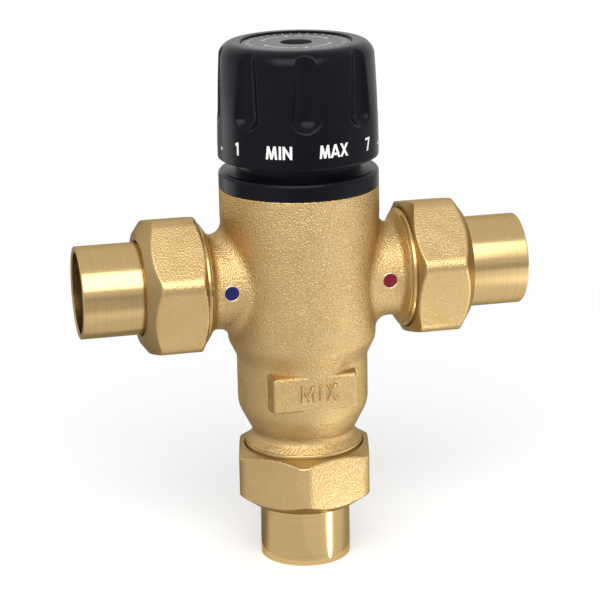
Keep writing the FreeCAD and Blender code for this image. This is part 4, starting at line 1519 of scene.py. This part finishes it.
@dataclass
class DiscPrint:
    """Pale print on the knob's disc: a ring of ticks, and two arrows with a plus and a minus.

    Directions are in degrees to either side of the front.
    """

    front: float = 270
    ticks: int = 36
    tick_r: float = 13.2
    tick_width: float = 0.16
    tick_length: float = 3.6
    arrow_r: float = 9.6
    arrow_span: tuple = (20, 62)
    arrow_steps: int = 16
    arrow_weight: float = 0.42
    head: float = 0.8
    head_span: tuple = (61, 70)
    sign_r: float = 9.6
    sign_at: float = 10
    sign_size: float = 0.95
    proud: float = 0.03
    sunk: float = 0.06

    def shapes(self) -> list[list[tuple]]:
        """Draw the arrows and the signs.

        Returns:
            Their outlines in millimetres, seen from above.
        """
        half, size = self.arrow_weight / 2, self.sign_size
        made = []
        for side in (-1, 1):
            start, end = (self.front + side * angle for angle in self.arrow_span)
            root, tip = (self.front + side * angle for angle in self.head_span)
            made.append(thick_line(arc((0, 0), self.arrow_r, start, end, self.arrow_steps), half))
            made.append([polar(self.arrow_r, tip), polar(self.arrow_r + self.head, root),
                         polar(self.arrow_r - self.head, root)])
        for side in (-1, 1):
            x, y = polar(self.sign_r, self.front + side * self.sign_at)
            made.append(thick_line([(x - size, y), (x + size, y)], half))
        made.append(thick_line([(x, y + half), (x, y + size)], half))
        made.append(thick_line([(x, y - half), (x, y - size)], half))
        return made + [[(-x, -y) for x, y in outline] for outline in made]

    def build(self, knob: Knob, ink: Finish) -> None:
        """Make the print.

        Args:
            knob: The knob that turns the disc.
            ink: Finish of the print.
        """
        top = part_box("knob_disc")[1].z
        turn = math.radians(knob.turn)
        cosine, sine = math.cos(turn), math.sin(turn)
        work = bmesh.new()
        for outline in self.shapes():
            spun = [((x * cosine - y * sine) * MM, (x * sine + y * cosine) * MM) for x, y in outline]
            bmesh.ops.triangulate(work, faces=prism(work, spun, top - self.sunk * MM, top + self.proud * MM))
        absorb(work, RingOfMarks("disc_ticks", self.ticks, self.tick_r, top / MM, turn, FULL_TURN / self.ticks,
                                 self.tick_width, self.proud * 2, Facing.UPWARD, self.tick_length).mesh(ink))
        finish_piece(closed_mesh("disc_print", work), ink, 0.0, "control")


# ---- springs ------------------------------------------------------------------------------------------
@dataclass
class Spring:
    """Coil spring that shortens as its far end moves: one length of it for each joint between its ends.

    Attributes:
        node: The CAD spring.
        bodies: Bodies from the fixed end to the moving end, each joined to the one before it.
        fixed_high: True if the fixed end is the upper one.
        weld: Distance in metres within which its corners are one.
        sharp: Angle in degrees past which an edge stays sharp.
    """

    node: str
    bodies: tuple
    fixed_high: bool = False
    weld: float = 1e-7
    sharp: float = 50.0

    def length(self, name: str, low: float, high: float) -> bpy.types.Mesh:
        """Cut a length out of the spring.

        Args:
            name: The length's name.
            low: Its lower end, in metres.
            high: Its upper end, in metres.

        Returns:
            The length's mesh, closed where it is cut.
        """
        work = bmesh.new()
        work.from_mesh(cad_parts[self.node].data)
        bmesh.ops.remove_doubles(work, verts=work.verts[:], dist=self.weld)
        for height, side in ((low, -1), (high, 1)):
            bmesh.ops.bisect_plane(work, geom=work.verts[:] + work.edges[:] + work.faces[:],
                                   plane_co=(0, 0, height), plane_no=(0, 0, side), clear_outer=True)
        bmesh.ops.holes_fill(work, edges=[edge for edge in work.edges if edge.is_boundary])
        return closed_mesh(name, work)

    def build(self, steel: Finish) -> None:
        """Make the spring.

        Args:
            steel: Its finish.
        """
        low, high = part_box(self.node)
        ends = (high.z, low.z) if self.fixed_high else (low.z, high.z)
        heights = np.linspace(*ends, len(self.bodies)).tolist()
        for near, far, start, end in zip(self.bodies, self.bodies[1:], heights, heights[1:]):
            mesh = self.length(f"{self.node}_{far}", min(start, end), max(start, end))
            piece = dressed(mesh, steel, self.sharp)
            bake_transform(piece)
            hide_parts(self.node)
            log.info("%s bends between %s and %s", piece.name, near, far)


# ---- the CAD nodes that keep their shape --------------------------------------------------------------
@dataclass
class Dressing:
    """Finishes of the CAD nodes that are shown as they are."""

    finishes: dict

    def build(self) -> None:
        """Put each finish on its nodes."""
        for finish, names in self.finishes.items():
            for name in names:
                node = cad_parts[name]
                node.data.materials.clear()
                node.data.materials.append(finish.material())
                log.info("%s dressed as %s", name, finish.name)


def main() -> None:
    """Build the valve, sub-assembly by sub-assembly."""
    logging.basicConfig(level=logging.INFO, format="%(name)s: %(message)s")
    forged = ForgedBrass("forged_brass_skin", "forged_brass")
    fine = ForgedBrass("forged_brass_fine", "forged_brass", peel_depth=0.1, grit_depth=0.02)
    coarse = ForgedBrass("forged_brass_coarse", "forged_brass", peel_depth=0.19)
    body = ForgedBrass("forged_brass_body", "forged_brass", peel_depth=0.28, grit_depth=0.09, cut_side=27.5,
                       cut_low=34.5)
    # Darker, duller copy of the brass for the nuts' cones, chamfers and bores: painted shade.
    cone = ForgedBrass("cut_brass_cone_painted_shade", "forged_brass", colour=(0.46, 0.325, 0.15), pale=(0.52, 0.38, 0.19),
                       peel_depth=0.05, swell_depth=0.08)
    turned_side = TurnedMetal("turned_brass_side", "turned_brass", axis_height=axis_height() * MM)
    turned_low = TurnedMetal("turned_brass_lower", "turned_brass", axis=Axis.UPRIGHT)
    bright = TurnedMetal("bright_lip", "turned_brass", colour=(0.85, 0.74, 0.6), tint=(0.8, 0.68, 0.52),
                         axis=Axis.UPRIGHT)
    steel = TurnedMetal("drawn_steel", "stainless_steel", colour=(0.55, 0.55, 0.56), tint=(0.42, 0.42, 0.43),
                        axis=Axis.UPRIGHT, pitch=0.3)
    copper = TurnedMetal("drawn_copper", "element_copper", colour=(0.68, 0.36, 0.22), tint=(0.5, 0.25, 0.14),
                         axis=Axis.UPRIGHT)
    black = Moulded("black_knob_plastic", "black_plastic", colour=(0.0025, 0.0025, 0.0038),
                    mark=(0.0035, 0.0035, 0.005), roughness=0.25, shine=0.17, tint=(0.8, 0.8, 1.0))
    grey = Moulded("grey_disc_plastic", "grey_disc", colour=(0.03, 0.03, 0.034), mark=(0.036, 0.036, 0.04),
                   roughness=0.25, shine=0.3)
    white = Moulded("white_ink", "white_print", colour=(0.9, 0.9, 0.88), mark=(0.84, 0.84, 0.82),
                    roughness=0.5)
    pale = Moulded("pale_ink", "white_print", colour=(0.62, 0.62, 0.63), mark=(0.56, 0.56, 0.57),
                   roughness=0.5)
    blue = Moulded("blue_enamel", "cold_blue", colour=(0.009, 0.014, 0.095), mark=(0.016, 0.008, 0.075),
                   shine=0.25)
    red = Moulded("red_enamel", "hot_red", colour=(0.19, 0.006, 0.018), mark=(0.15, 0.005, 0.018), shine=0.25)
    filled = Moulded("glass_filled_plastic", "shuttle_plastic", colour=(0.08, 0.08, 0.08),
                     mark=(0.11, 0.11, 0.1), roughness=0.55, depth=0.01)
    rubber = Moulded("seal_rubber_black", "seal_rubber", colour=(0.018, 0.018, 0.018), mark=(0.03, 0.03, 0.03),
                     roughness=0.6)
    fibre = Moulded("pressed_fibre", "gasket_fibre", colour=(0.16, 0.3, 0.22), mark=(0.2, 0.36, 0.27),
                    roughness=0.8, grain=0.2, depth=0.02)

    Studio().build()
    for port, corner, skin in ((Port.COLD, -77.0, fine), (Port.HOT, -103.0, fine), (Port.MIX, 103.0, coarse)):
        UnionNut(port, corner).build(skin, cone)
    knob = Knob()
    knob.build(black)
    DialPrint(knob).build(white)
    DiscPrint().build(knob, pale)
    OutletName().build(forged)
    Marker("cold_marker").build(blue, bright)
    Marker("hot_marker").build(red, bright)
    Spring("return_spring", ("housing", "carrier", "plunger", "shuttle")).build(steel)
    Spring("overtravel_spring", ("carrier", "plunger"), fixed_high=True).build(steel)
    Dressing({
        body: ["valve_body"],
        turned_side: ["cold_tailpiece", "hot_tailpiece"],
        turned_low: ["mix_tailpiece", "bonnet", "carrier", "spindle"],
        black: ["index_collar"],
        grey: ["knob_disc"],
        steel: ["knob_screw", "element_piston", "carrier_retaining_ring", "spindle_circlip", "thrust_washer",
                "overtravel_plunger"],
        copper: ["wax_element"],
        filled: ["shuttle"],
        rubber: ["bonnet_o_ring", "spindle_o_rings", "shuttle_o_ring"],
        fibre: ["cold_gasket", "hot_gasket", "mix_gasket"],
    }).build()


if __name__ == "__main__":
    main()
